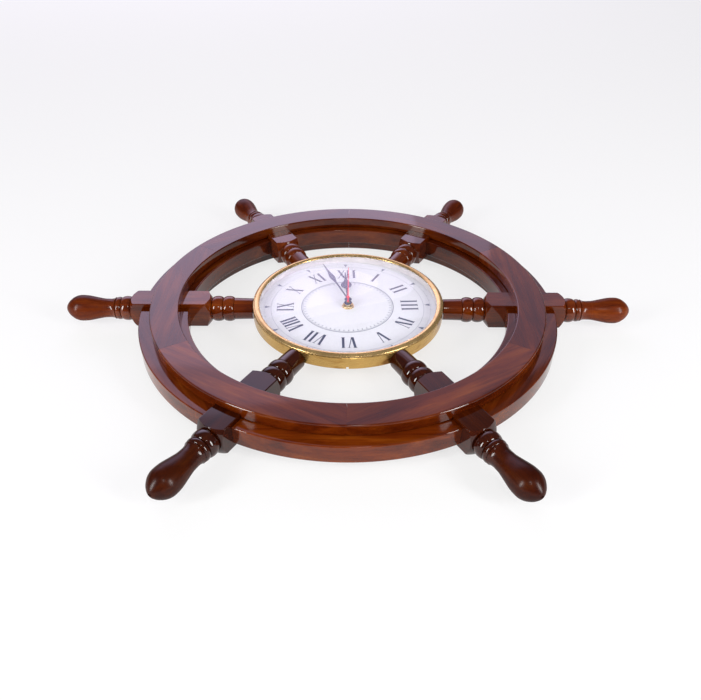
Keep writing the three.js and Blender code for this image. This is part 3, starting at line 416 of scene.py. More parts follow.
rosewood = varnished_wood()
board = bent_board("felloe", FELLOE_INNER, FELLOE_OUTER, *heights("felloe_1"), FELLOE_EDGE)
saw_ends(board, BLOCK_HALF + GLUE_LINE)
smooth(board)
board.data.materials.append(rosewood)
copies_round(board, "rim_felloe", "felloe", SIXTH / 2, TANGENT, RADIAL, FELLOE_GRAIN, FELLOE_TONES_AND_SHADING)

# Front and back rings. Narrower rings of the same wood on both faces of the felloes, each made of
# six curved boards that meet halfway between spokes and are notched over the spokes' square parts.
RING_EDGE = 1.3 * MM
SEAM_HALF = 0.04 * MM
NOTCH_HALF = BLOCK_HALF + 0.12 * MM
NOTCH_REACH = 10 * MM
FRONT_RING_GRAIN, BACK_RING_GRAIN = 11, 21
# Front ring tones, like the felloes', mix the wood's own differences with painted light and shade.
FRONT_RING_TONES_AND_SHADING = (0.95, 0.60, 0.65, 0.75, 1.00, 0.80)
BACK_RING_TONES = (0.60, 0.75, 0.55, 0.70, 0.65, 0.80)
AXIS_Z = heights("front_ring_segment_1")[1] / 2


def add_block(name, low, high):
    """Box between two corners, as a cube primitive scaled and set in place."""
    deselect_all()
    low, high = Vector(low), Vector(high)
    bpy.ops.mesh.primitive_cube_add(size=1, location=(low + high) / 2)
    block = bpy.context.object
    block.name = name
    block.scale = high - low
    bpy.ops.object.transform_apply(location=True, rotation=True, scale=True)
    return block


def combine(piece, tool, operation):
    """Cuts, joins or trims a piece with another solid, which is used up."""
    apply_modifier(piece, "BOOLEAN", operation=operation, object=tool, solver="EXACT")
    bpy.data.objects.remove(tool)


def cut(piece, tool):
    """Takes another solid out of a piece."""
    combine(piece, tool, "DIFFERENCE")


for stem, node, number, tones_and_shading in (
    ("front_rim", "front_ring_segment", FRONT_RING_GRAIN, FRONT_RING_TONES_AND_SHADING),
    ("back_rim", "back_ring_segment", BACK_RING_GRAIN, BACK_RING_TONES),
):
    board = bent_board(stem, RING_INNER, RING_OUTER, *heights(f"{node}_1"), RING_EDGE)
    saw_ends(board, SEAM_HALF)
    cut(board, add_block("notch", (RING_INNER - NOTCH_REACH, -NOTCH_HALF, AXIS_Z - NOTCH_HALF),
                         (RING_OUTER + NOTCH_REACH, NOTCH_HALF, AXIS_Z + NOTCH_HALF)))
    smooth(board)
    board.data.materials.append(rosewood)
    copies_round(board, stem, node, 0.0, TANGENT, RADIAL, number, tones_and_shading)

# Spokes. Six lengths of rosewood turned on a lathe: a plain shank and two beads inside the rim, a
# square part through it, a collar of two beads, a slim neck and a swelling handle outside.
SHANK_START, HANDLE_TIP = (end.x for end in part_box("spoke_1"))
SHANK_END_RADIUS = 11.7 * MM
SHANK_END_GAP = 0.3 * MM
SHANK_FOOT = ((0.0, 10.6), (0.2, 11.0), (0.8, 11.2), (10.0, 11.4))
INNER_BEAD = (13.7 * MM, 11.0 * MM, 12.0 * MM)
BLOCK_START = FELLOE_INNER - 22.9 * MM
BLOCK_END = FELLOE_OUTER + 13.4 * MM
BLOCK_EDGE = 0.9 * MM
BLOCK_CORNER = BLOCK_HALF * math.sqrt(2) / MM + 0.5
INNER_DOME = ((0.0, 9.8), (0.5, 12.0), (1.3, 13.4), (3.1, 15.7), (4.7, 18.0), (6.2, BLOCK_CORNER))
OUTER_DOME = ((-7.0, BLOCK_CORNER), (-4.6, 19.0), (-2.8, 17.0), (-0.9, 14.4), (-0.1, 12.6),
              (0.0, 10.5))
COLLAR_BEAD = (13.2 * MM, 10.9 * MM, 11.0 * MM)
RING_BEAD = (12.2 * MM, 10.3 * MM, 6.0 * MM)
BEAD_GAP = 0.2 * MM
SHOULDER_AND_NECK = ((17.4, 11.4), (18.0, 11.7), (19.2, 10.95), (21.3, 10.35), (23.6, 10.1))
NECK_RADIUS = 10.1 * MM
GRIP_RADIUS = 13.95 * MM
GRIP_START = 25.8 * MM
GRIP_SWELL = ((0.0, 0.0), (0.12, 0.08), (0.29, 0.47), (0.47, 0.89), (0.6, 1.0), (0.7, 0.93))
GRIP_NOSE = ((0.8, 0.86), (0.9, 0.62), (0.965, 0.36), (0.99, 0.2))
CENTRE_MARK_RADIUS = 1.3 * MM
CENTRE_MARK_DEPTH = 2.2 * MM
CENTRE_MARK_LIP = 0.4 * MM
SPOKE_SIDES = 64
SPOKE_GRAIN = 31
# Spoke tones mix the wood's own differences with painted light and shade.
SPOKE_TONES_AND_SHADING = (1.00, 0.85, 0.90, 1.00, 0.15, 0.30)
SPARE = 1 * MM


def round_edges(piece, width, segments=3, angle=35):
    """Rounds all edges sharper than an angle in degrees."""
    apply_modifier(piece, "BEVEL", width=width, segments=segments, limit_method="ANGLE",
                   angle_limit=math.radians(angle))


def stations(start, pairs):
    """(place along, radius) points from pairs in millimetres, counted from a start."""
    return [(start + along * MM, radius * MM) for along, radius in pairs]


def smooth_line(points, between=4):
    """Points along a soft curve through the given ones, with a few more between each two."""
    line = []
    ends = [points[0], *points, points[-1]]
    for before, start, end, after in zip(ends, ends[1:], ends[2:], ends[3:]):
        for step in range(between):
            t = step / between
            line.append(tuple(
                0.5 * (2 * b + (c - a) * t + (2 * a - 5 * b + 4 * c - d) * t * t
                       + (3 * b - a - 3 * c + d) * t ** 3)
                for a, b, c, d in zip(before, start, end, after)))
    return line + [tuple(points[-1])]


def turned(name, outline, sides=SPOKE_SIDES, lathe="X"):
    """Lathe work: (place along, radius) points drawn one after another and spun round an axis."""
    places = [Vector((a, 0, r)) if lathe == "X" else Vector((r, 0, a)) for a, r in outline]
    deselect_all()
    bpy.ops.mesh.primitive_plane_add(size=MM, location=places[0])
    piece = bpy.context.object
    piece.name = name
    bpy.ops.object.transform_apply(location=True)
    edit(piece)
    bpy.ops.mesh.merge(type="CENTER")
    for before, after in zip(places, places[1:]):
        bpy.ops.mesh.extrude_vertices_move(TRANSFORM_OT_translate={"value": after - before})
    bpy.ops.mesh.select_all(action="SELECT")
    bpy.ops.mesh.spin(steps=sides, angle=2 * math.pi, center=(0, 0, 0),
                      axis=(1, 0, 0) if lathe == "X" else (0, 0, 1))
    close_up(piece)
    return piece


def shift(piece, x, y, z):
    """Moves a piece's mesh and leaves its object where it is."""
    edit(piece)
    bpy.ops.transform.translate(value=(x, y, z))
    close_up(piece)


def bead(start, size, points=12):
    """Half-round bead with its peak radius, the radius at its ends and its length."""
    peak, valley, length = size
    return [(start + length * (0.5 - 0.5 * math.cos(math.pi * k / points)),
             valley + (peak - valley) * math.sin(math.pi * k / points)) for k in range(points + 1)]


def handle_outline(start):
    """Collar bead, ring bead, flared shoulder, neck, grip and the centre mark of the lathe."""
    grip_start = start + GRIP_START
    length = HANDLE_TIP - grip_start
    shoulder, *neck = stations(start, SHOULDER_AND_NECK)
    swell = [(grip_start + length * along, NECK_RADIUS + (GRIP_RADIUS - NECK_RADIUS) * rise)
             for along, rise in GRIP_SWELL]
    nose = [(grip_start + length * along, GRIP_RADIUS * part) for along, part in GRIP_NOSE]
    nose.append((HANDLE_TIP, CENTRE_MARK_RADIUS + CENTRE_MARK_LIP))
    return [
        *bead(start, COLLAR_BEAD),
        *bead(start + COLLAR_BEAD[2] + BEAD_GAP, RING_BEAD),
        shoulder,
        *smooth_line(neck + swell + nose),
        (HANDLE_TIP - CENTRE_MARK_LIP, CENTRE_MARK_RADIUS),
        (HANDLE_TIP - CENTRE_MARK_DEPTH, CENTRE_MARK_RADIUS),
        (HANDLE_TIP - CENTRE_MARK_DEPTH, 0.0),
    ]


spoke = add_block("spoke", (BLOCK_START - SPARE, -BLOCK_HALF, -BLOCK_HALF),
                  (BLOCK_END + SPARE, BLOCK_HALF, BLOCK_HALF))
round_edges(spoke, BLOCK_EDGE)
dome = smooth_line(stations(BLOCK_START, INNER_DOME))
dome += smooth_line(stations(BLOCK_END, OUTER_DOME))
combine(spoke, turned("dome", [(BLOCK_START, 0.0), *dome, (BLOCK_END, 0.0)]), "INTERSECT")
bead_start = BLOCK_START - 2 * INNER_BEAD[2]
combine(spoke, turned("inner_turning", [
    (SHANK_START, 0.0), *stations(SHANK_START, SHANK_FOOT),
    (bead_start - SHANK_END_GAP, SHANK_END_RADIUS),
    *bead(bead_start, INNER_BEAD), *bead(bead_start + INNER_BEAD[2], INNER_BEAD)[1:],
    (BLOCK_START + SPARE, INNER_BEAD[1]), (BLOCK_START + SPARE, 0.0)]), "UNION")
combine(spoke, turned("outer_turning", [
    (BLOCK_END - SPARE, 0.0), (BLOCK_END - SPARE, COLLAR_BEAD[1]),
    *handle_outline(BLOCK_END)]), "UNION")
shift(spoke, 0, 0, AXIS_Z)
smooth(spoke, angle=38)
spoke.data.materials.append(rosewood)
copies_round(spoke, "turned_spoke", "spoke", 0.0, RADIAL, TANGENT, SPOKE_GRAIN, SPOKE_TONES_AND_SHADING)

# Keyhole hanger. A stamped brass plate let into the back of the rim at twelve o'clock, across the
# seam of the back ring, over a pocket that takes the head of the wall screw; two slotted screws.
HANGER_SCREW_X = 16 * MM
HANGER_POCKET_HALF = 6.1 * MM
HANGER_POCKET_DEPTH = 7 * MM
HANGER_POCKET_MARGIN = 0.7 * MM
HANGER_BED_PLAY = 0.3 * MM
HANGER_PILOT_DEPTH = 10.6 * MM
HANGER_EDGE = 0.25 * MM
HANGER_CUT_TOP = 3 * MM
KEYHOLE_RADIUS = 4.6 * MM
KEYHOLE_SLOT_RADIUS = 2.5 * MM
KEYHOLE_SLOT_LENGTH = 8 * MM
HANGER_SCREW_RADIUS = 1.4 * MM
HANGER_SCREW_HEAD = 2.8 * MM
HANGER_SCREW_CONE = 1.4 * MM
HANGER_SCREW_POINT = 2 * MM
HANGER_SEAT_PLAY = 0.3 * MM
DRIVER_SLOT_HALF = 0.35 * MM
DRIVER_SLOT_REACH = 4 * MM
DRIVER_SLOT_DEPTH = 0.7 * MM
HEAD_EDGE_RISE, HEAD_EDGE_INSET = 0.15 * MM, 0.3 * MM
BRASS_COLOUR = (0.68, 0.42, 0.13)
STEEL_COLOUR = (0.56, 0.57, 0.58)
PATINA = ((0.34, (0.34, 0.20, 0.10)), (0.40, (0.75, 0.66, 0.55)), (0.46, WHITE))
hanger_low, hanger_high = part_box("hanger_plate")
hanger_y = (hanger_low.y + hanger_high.y) / 2
keyhole_y = hanger_y - KEYHOLE_SLOT_LENGTH / 2


def add_rod(name, radius, low, high, x=0.0, y=0.0, sides=48):
    """Upright round rod from one height to another."""
    deselect_all()
    bpy.ops.mesh.primitive_cylinder_add(vertices=sides, radius=radius, depth=high - low,
                                        location=(x, y, (low + high) / 2))
    rod = bpy.context.object
    rod.name = name
    bpy.ops.object.transform_apply(location=True)
    return rod


def finish_piece(piece, material, body, slot, *nodes, angle=32):
    """Smooths a piece, gives it its finish and puts it on its body in place of its nodes."""
    smooth(piece, angle)
    piece.data.materials.clear()
    piece.data.materials.append(material)
    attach(piece, body)
    if nodes:
        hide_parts(*nodes)


def object_place(nodes):
    """Output of a point's place in the object, which is its place on the wheel."""
    return nodes.new("ShaderNodeTexCoord").outputs["Object"]


def shade(colour, share):
    """The same colour at a share of its brightness."""
    return tuple(min(1.0, share * part) for part in colour)


def brushed_brass(name, lines, colour=BRASS_COLOUR, stains=0.5):
    """Warm brass with fine lines from polishing, faint clouds and a few brown age stains."""
    material, nodes, links, shader = new_material(name, colour, 0.25, 0.8)
    place = object_place(nodes)
    clouds = ramp(nodes, links, noise(nodes, links, place, (35, 35, 35), 3),
                  (0.35, shade(colour, 0.82)), (0.7, colour))
    patina = ramp(nodes, links, noise(nodes, links, place, (26, 26, 60), 4, 0.6, 0.55), *PATINA)
    links.new(multiply(nodes, links, stains, clouds, patina), shader.inputs["Base Color"])
    fine = noise(nodes, links, place, lines, 3)
    wear = ramp(nodes, links, fine, (0.3, (0.17, 0.17, 0.17)), (0.7, (0.34, 0.34, 0.34)))
    links.new(wear, shader.inputs["Roughness"])
    links.new(bump(nodes, links, fine, 0.08, 0.00005), shader.inputs["Normal"])
    return material


def plain_metal(name, colour, roughness=0.3):
    """Metal with faint uneven polish."""
    material, nodes, links, shader = new_material(name, colour, roughness, 1.0)
    fine = noise(nodes, links, object_place(nodes), (700, 700, 700), 3)
    wear = ramp(nodes, links, fine, (0.3, (roughness * 0.7,) * 3), (0.7, (roughness * 1.3,) * 3))
    links.new(wear, shader.inputs["Roughness"])
    links.new(bump(nodes, links, fine, 0.1, 0.00004), shader.inputs["Normal"])
    return material


brass_sheet = brushed_brass("brass_sheet", (90, 900, 90))
steel = plain_metal("bright_steel", STEEL_COLOUR)

for step in (2, 3):
    rim = bpy.data.objects[f"back_rim_{step}"]
    bed = HANGER_BED_PLAY
    cut(rim, add_block("bed", (hanger_low.x - bed, hanger_low.y - bed, -SPARE),
                       (hanger_high.x + bed, hanger_high.y + bed, hanger_high.z + bed)))
    cut(rim, add_block("pocket",
                       (-HANGER_POCKET_HALF, hanger_low.y + HANGER_POCKET_MARGIN, -SPARE),
                       (HANGER_POCKET_HALF, hanger_high.y - HANGER_POCKET_MARGIN,
                        HANGER_POCKET_DEPTH)))
    side = 1 if step == 2 else -1
    cut(rim, add_rod("pilot", HANGER_SCREW_RADIUS + bed, -SPARE, HANGER_PILOT_DEPTH,
                     side * HANGER_SCREW_X, hanger_y, 16))
    smooth(rim)
    give_grain(rim, Matrix.Rotation((step - 1) * SIXTH, 3, "Z"), TANGENT, RADIAL,
               BACK_RING_GRAIN + step - 1, BACK_RING_TONES[step - 1])

plate = add_block("keyhole_hanger", hanger_low, hanger_high)
slot_end_y = keyhole_y + KEYHOLE_SLOT_LENGTH
cut(plate, add_rod("keyhole", KEYHOLE_RADIUS, -SPARE, HANGER_CUT_TOP, 0, keyhole_y))
cut(plate, add_block("slot", (-KEYHOLE_SLOT_RADIUS, keyhole_y, -SPARE),
                     (KEYHOLE_SLOT_RADIUS, slot_end_y, HANGER_CUT_TOP)))
cut(plate, add_rod("slot_end", KEYHOLE_SLOT_RADIUS, -SPARE, HANGER_CUT_TOP, 0, slot_end_y))
for side in (-1, 1):
    wide, narrow = HANGER_SCREW_HEAD + HANGER_SEAT_PLAY, HANGER_SCREW_RADIUS + HANGER_SEAT_PLAY
    seat = turned("seat", [
        (-SPARE, 0.0), (-SPARE, wide), (hanger_low.z, wide),
        (hanger_low.z + HANGER_SCREW_CONE, narrow), (HANGER_CUT_TOP, narrow),
        (HANGER_CUT_TOP, 0.0)], 24, "Z")
    shift(seat, side * HANGER_SCREW_X, hanger_y, 0)
    cut(plate, seat)
round_edges(plate, HANGER_EDGE, 2, 60)
finish_piece(plate, brass_sheet, "clock", "brass", "hanger_plate")

for side, name, node in ((-1, "hanger_woodscrew_1", "hanger_screw_1"),
                         (1, "hanger_woodscrew_2", "hanger_screw_2")):
    screw_low, screw_high = heights(node)
    x = side * HANGER_SCREW_X
    screw = turned(name, [
        (screw_low, 0.0), (screw_low, HANGER_SCREW_HEAD - HEAD_EDGE_INSET),
        (screw_low + HEAD_EDGE_RISE, HANGER_SCREW_HEAD),
        (screw_low + HANGER_SCREW_CONE, HANGER_SCREW_RADIUS),
        (screw_high - HANGER_SCREW_POINT, HANGER_SCREW_RADIUS), (screw_high, 0.0)], 32, "Z")
    shift(screw, x, hanger_y, 0)
    cut(screw, add_block(
        "driver_slot", (x - DRIVER_SLOT_REACH, hanger_y - DRIVER_SLOT_HALF, -SPARE),
        (x + DRIVER_SLOT_REACH, hanger_y + DRIVER_SLOT_HALF, screw_low + DRIVER_SLOT_DEPTH)))
    finish_piece(screw, steel, "clock", "steel", node)

# Case. A shallow pan spun from sheet brass with an upright wall, a square window in its floor for
# the movement and a small notch at six o'clock; screws through its wall hold the spoke ends.
case_low, case_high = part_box("brass_case")
CASE_RADIUS = case_high.x
CASE_WALL = 1.8 * MM
CASE_FLOOR = 1.6 * MM
CASE_FLOOR_RING = 30 * MM
CASE_HEEL = ((0.0, 2.2), (0.15, 1.2), (0.6, 0.5), (1.2, 0.12), (2.2, 0.0))
CASE_RIM_EDGE = 0.2 * MM
CASE_CORNER = 1.2 * MM
WINDOW_HALF = 29 * MM
NOTCH_HALF_WIDTH = 1.3 * MM
NOTCH_HEIGHT = 3.2 * MM
CASE_SCREW_RISE = 2.4 * MM
CASE_SCREW_HOLE = 1.9 * MM
CASE_CUT_REACH = 3 * MM
ROUND_SIDES = 192
inside = CASE_RADIUS - CASE_WALL
floor_top = case_low.z + CASE_FLOOR


def inwards(start, radius, pairs):
    """(place along, radius) points from millimetres up from a start and in from a radius."""
    return [(start + up * MM, radius - inward * MM) for up, inward in pairs]


pan = turned("brass_pan", [
    (case_low.z, 0.0), (case_low.z, CASE_RADIUS - CASE_FLOOR_RING),
    *inwards(case_low.z, CASE_RADIUS, CASE_HEEL),
    (case_high.z - CASE_RIM_EDGE, CASE_RADIUS), (case_high.z, CASE_RADIUS - CASE_RIM_EDGE),
    (case_high.z, inside), (floor_top + CASE_CORNER, inside), (floor_top, inside - CASE_CORNER),
    (floor_top, 0.0)], ROUND_SIDES, "Z")
cut(pan, add_block("window", (-WINDOW_HALF, -WINDOW_HALF, 0),
                   (WINDOW_HALF, WINDOW_HALF, case_high.z)))
cut(pan, add_block("notch", (-NOTCH_HALF_WIDTH, -CASE_RADIUS - SPARE, 0),
                   (NOTCH_HALF_WIDTH, -inside + CASE_CUT_REACH, case_low.z + NOTCH_HEIGHT)))
for step in range(SPOKE_COUNT):
    drill = turned("drill", [
        (inside - CASE_CUT_REACH, 0.0), (inside - CASE_CUT_REACH, CASE_SCREW_HOLE),
        (CASE_RADIUS + SPARE, CASE_SCREW_HOLE), (CASE_RADIUS + SPARE, 0.0)], 16)
    shift(drill, 0, 0, AXIS_Z + CASE_SCREW_RISE)
    drill.rotation_euler.z = step * SIXTH
    bpy.ops.object.transform_apply(rotation=True)
    cut(pan, drill)
spun_brass = brushed_brass("spun_brass", (60, 60, 2600), stains=0.85)
finish_piece(pan, spun_brass, "clock", "brass", "brass_case")

# Movement. A square black plastic quartz movement behind the dial, its housing in two halves, with
# an open bay for one cell at the bottom; its back shows through the window of the case.
SHELL_HALF = 28 * MM
SHELL_WALL = 1.2 * MM
SHELL_EDGE = 1.0 * MM
BAY_TOP = -12.0 * MM
BUSHING_HOLE = 3.0 * MM
KNOB_SHAFT_HOLE = 1.2 * MM
HOLE_DEPTH = 3 * MM
PANEL_LOW, PANEL_HIGH = (-3 * MM, -7 * MM), (24 * MM, 24 * MM)
PANEL_DEPTH = 0.4 * MM
PANEL_CORNER = 1.5 * MM
PIN_MARKS = ((-25.2, 25.2), (25.2, 25.2), (-25.2, -9.6), (25.2, -9.6))
PIN_MARK_RADIUS = 1.1 * MM
PIN_MARK_DEPTH = 0.5 * MM
NUB_LENGTH = 1.3 * MM
CELL_FOOT = ((0.0, 0.0), (0.0, 4.6), (0.25, 5.0), (0.25, 6.15), (0.6, 6.9))
CELL_SHOULDER = ((-0.7, 6.9), (-0.15, 6.25), (0.0, 5.45), (-0.4, 3.2), (-0.3, 2.6))
CELL_NUB = ((-0.3, 2.6), (0.0, 2.3), (0.0, 0.0))
SLEEVE_FOOT = ((0.7, 6.95), (0.4, 6.8), (0.7, 7.1))
SLEEVE_TOP = ((-0.7, 7.1), (-0.4, 6.8), (-0.7, 6.95))
SLEEVE_BLACK, SLEEVE_COPPER = (0.03, 0.03, 0.035), (0.60, 0.36, 0.12)
cover_low, cover_high = heights("movement_back_shell")
body_low, body_high = heights("movement_front_shell")
knob_low, knob_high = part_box("setting_knob")
KNOB_X, KNOB_Y = (knob_low.x + knob_high.x) / 2, (knob_low.y + knob_high.y) / 2
chamber_half = SHELL_HALF - SHELL_WALL


def plastic(name, colour, roughness=0.45, grit=0.2):
    """Moulded plastic with a fine spark-eroded grain."""
    material, nodes, links, shader = new_material(name, colour, roughness)
    place = object_place(nodes)
    clouds = ramp(nodes, links, noise(nodes, links, place, (90, 90, 90), 3),
                  (0.3, shade(colour, 0.85)), (0.7, colour))
    links.new(clouds, shader.inputs["Base Color"])
    fine = noise(nodes, links, place, (2600, 2600, 2600))
    links.new(bump(nodes, links, fine, grit, 0.00005), shader.inputs["Normal"])
    return material


black_plastic = plastic("black_plastic", (0.016, 0.016, 0.018), 0.42)
white_plastic = plastic("white_plastic", (0.78, 0.78, 0.76), 0.35, 0.08)

body = add_block("movement_body", (-SHELL_HALF, -SHELL_HALF, body_low),
                 (SHELL_HALF, SHELL_HALF, body_high))
round_edges(body, SHELL_EDGE)
cut(body, add_block("bay", (-chamber_half, -chamber_half, body_low - SPARE),
                    (chamber_half, BAY_TOP, body_high - SHELL_WALL)))
cut(body, add_block("train_room", (-chamber_half, BAY_TOP + SHELL_WALL, body_low - SPARE),
                    (chamber_half, chamber_half, body_high - SHELL_WALL)))
cut(body, add_rod("bore", BUSHING_HOLE, body_high - HOLE_DEPTH, body_high + SPARE))
finish_piece(body, black_plastic, "clock", "black_plastic", "movement_front_shell")

cover = add_block("movement_cover", (-SHELL_HALF, -SHELL_HALF, cover_low),
                  (SHELL_HALF, SHELL_HALF, cover_high))
round_edges(cover, SHELL_EDGE)
cut(cover, add_block("bay", (-chamber_half, -chamber_half, cover_low - SPARE),
                     (chamber_half, BAY_TOP, cover_high + SPARE)))
cut(cover, add_block("train_room", (-chamber_half, BAY_TOP + SHELL_WALL, cover_low + SHELL_WALL),
                     (chamber_half, chamber_half, cover_high + SPARE)))
cut(cover, add_rod("shaft_hole", KNOB_SHAFT_HOLE, cover_low - SPARE, cover_low + HOLE_DEPTH,
                   KNOB_X, KNOB_Y, 24))
panel = add_block("panel", (*PANEL_LOW, cover_low - 2 * SPARE),
                  (*PANEL_HIGH, cover_low + PANEL_DEPTH))
round_edges(panel, PANEL_CORNER, 4)
cut(cover, panel)
for x, y in PIN_MARKS:
    cut(cover, add_rod("pin_mark", PIN_MARK_RADIUS, cover_low - SPARE,
                       cover_low + PIN_MARK_DEPTH, x * MM, y * MM, 24))
finish_piece(cover, black_plastic, "clock", "black_plastic", "movement_back_shell")

cell_low, cell_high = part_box("battery")
cell_y, cell_z = (cell_low.y + cell_high.y) / 2, (cell_low.z + cell_high.z) / 2
can_end = cell_high.x - NUB_LENGTH
core = turned("cell_core", [
    *stations(cell_low.x, CELL_FOOT), *stations(can_end, CELL_SHOULDER),
    *stations(cell_high.x, CELL_NUB)], 48)
sleeve = turned("cell_sleeve", [
    *stations(cell_low.x, SLEEVE_FOOT), *stations(can_end, SLEEVE_TOP),
    *stations(cell_low.x, SLEEVE_FOOT[:1])], 48)
for piece in (core, sleeve):
    shift(piece, 0, cell_y, cell_z)
material, nodes, links, shader = new_material("cell_jacket", (0.05, 0.12, 0.25), 0.25, 0.4)
separate = nodes.new("ShaderNodeSeparateXYZ")
links.new(object_place(nodes), separate.inputs["Vector"])
along = nodes.new("ShaderNodeMapRange")
along.inputs["From Min"].default_value = cell_low.x
along.inputs["From Max"].default_value = can_end
links.new(separate.outputs["X"], along.inputs["Value"])
bands = ramp(nodes, links, along.outputs["Result"], (0.0, SLEEVE_BLACK), (0.70, SLEEVE_BLACK),
             (0.71, SLEEVE_COPPER), (1.0, SLEEVE_COPPER))
scuffs = ramp(nodes, links, noise(nodes, links, object_place(nodes), (300, 900, 900), 3),
              (0.3, (0.8, 0.8, 0.8)), (0.7, WHITE))
links.new(multiply(nodes, links, 1.0, bands, scuffs), shader.inputs["Base Color"])
finish_piece(core, steel, "clock", "steel")
finish_piece(sleeve, material, "clock", "cell_jacket", "battery")

# Dial. A thin round sheet of white paper on board, printed in dark blue and greys: Roman numerals
# with their feet to the centre, inside them a double ring with sixty dashes, outside them two thin
# circles, the minutes and a pointer at each hour. It is clamped by the centre nut.
dial_low, dial_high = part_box("dial")
DIAL_HOLE = 5.1 * MM
PRINT_LOW = dial_high.z + 0.01 * MM
PRINT_THICKNESS = 0.025 * MM
PRINT_TURN = math.radians(1.9)
PRINT_PLACE = Vector((-0.6 * MM, 0.8 * MM, 0))
DIAL_HOURS, DIAL_MINUTES = 12, 60
NUMERAL_FOOT = 58.2
NUMERAL_HEAD = 76.2
THICK_STROKE = 2.6
THIN_STROKE = 0.9
THIN_STROKE_LIFT = 0.002 * MM
SERIF = 0.5
THIN_SERIF = 3.2
V_SERIF = 4.2
V_FEET = (-0.3, 0.5)
V_ARM_INSET = 2.4
X_SERIF = 4.4
X_ARM_INSET = 2.2
PAPER_DARK, PAPER, PAPER_LIGHT = (0.57, 0.58, 0.61), (0.59, 0.60, 0.63), (0.61, 0.62, 0.65)
TRACK_LINES = ((49.1, 50.0), (47.9, 48.3))
DASH = (45.2, 47.2, 0.95)
CHAPTER_LINES = ((82.4, 82.75), (89.6, 89.8))
MINUTE_MARK = (89.85, 91.6, 0.22)
POINTER = (83.0, 89.2, 4.4)
POINTER_MIDDLE = 86 * MM

sheet = turned("dial_sheet", [
    (dial_low.z, DIAL_HOLE), (dial_low.z, dial_high.x), (dial_high.z, dial_high.x),
    (dial_high.z, DIAL_HOLE), (dial_low.z, DIAL_HOLE)], ROUND_SIDES, "Z")
material, nodes, links, shader = new_material("dial_paper", PAPER, 0.55)
fibres = noise(nodes, links, object_place(nodes), (500, 500, 500), 4)
links.new(ramp(nodes, links, fibres, (0.3, PAPER_DARK), (0.7, PAPER_LIGHT)),
          shader.inputs["Base Color"])
links.new(bump(nodes, links, fibres, 0.05, 0.00005), shader.inputs["Normal"])
finish_piece(sheet, material, "clock", "dial_enamel", "dial")


def ink(name, colour):
    """Printing ink with slightly uneven cover."""
    material, nodes, links, shader = new_material(name, colour, 0.5)
    cover = ramp(nodes, links, noise(nodes, links, object_place(nodes), (1800, 1800, 1800), 3),
                 (0.3, shade(colour, 1.25)), (0.7, colour))
    links.new(cover, shader.inputs["Base Color"])
    return material


def begin_print(name):
    """Empty mesh in edit mode, made from a plane whose face is taken away again."""
    deselect_all()
    bpy.ops.mesh.primitive_plane_add(size=MM)
    piece = bpy.context.object
    piece.name = name
    edit(piece)
    bpy.ops.mesh.delete(type="VERT")
    return piece


def select_where(piece, test):
    """In edit mode, leaves selected only those selected points whose place passes the test."""
    mesh = bmesh.from_edit_mesh(piece.data)
    for vertex in mesh.verts:
        if vertex.select and not test(vertex.co):
            vertex.select_set(False)
    mesh.select_flush(False)
    bmesh.update_edit_mesh(piece.data)


def stroke(piece, x, foot, head, width, lean=0.0, height=0.0):
    """Upright bar of ink, sizes in millimetres; lean moves its head sideways."""
    middle = Vector((x * MM, (foot + head) / 2 * MM, PRINT_LOW + height))
    bpy.ops.mesh.primitive_plane_add(size=MM, location=middle)
    bpy.ops.transform.resize(value=(width, head - foot, 1), center_override=middle)
    if lean:
        select_where(piece, lambda place: place.y > middle.y)
        bpy.ops.transform.translate(value=(lean * MM, 0, 0))


def thicken_print(piece):
    """Gives flat ink its thickness."""
    bpy.ops.mesh.select_all(action="SELECT")
    bpy.ops.mesh.extrude_region_move(TRANSFORM_OT_translate={"value": (0, 0, PRINT_THICKNESS)})
    close_up(piece)


def glyph(letter, width):
    """One letter of a Roman numeral standing on the foot circle, centred on the axis."""
    piece = begin_print("glyph_" + letter)
    foot, head = NUMERAL_FOOT, NUMERAL_HEAD
    if letter == "I":
        stroke(piece, 0, foot + SERIF, head - SERIF, THICK_STROKE)
        stroke(piece, 0, foot, foot + SERIF, width)
        stroke(piece, 0, head - SERIF, head, width)
    elif letter == "V":
        arm = width / 2 - V_ARM_INSET
        thick_foot, thin_foot = V_FEET
        stroke(piece, thick_foot, foot, head - SERIF, THICK_STROKE, -arm)
        stroke(piece, thin_foot, foot, head - SERIF, THIN_STROKE, arm, THIN_STROKE_LIFT)
        stroke(piece, thick_foot - arm, head - SERIF, head, V_SERIF)
        stroke(piece, thin_foot + arm, head - SERIF, head, THIN_SERIF)
    else:
        arm = width / 2 - X_ARM_INSET
        stroke(piece, arm, foot + SERIF, head - SERIF, THICK_STROKE, -2 * arm)
        stroke(piece, -arm, foot + SERIF, head - SERIF, THIN_STROKE, 2 * arm, THIN_STROKE_LIFT)
        for side, low, serif in ((-1, head - SERIF, X_SERIF), (1, head - SERIF, THIN_SERIF),
                                 (-1, foot, THIN_SERIF), (1, foot, X_SERIF)):
            stroke(piece, side * arm, low, low + SERIF, serif)
    thicken_print(piece)
    return piece


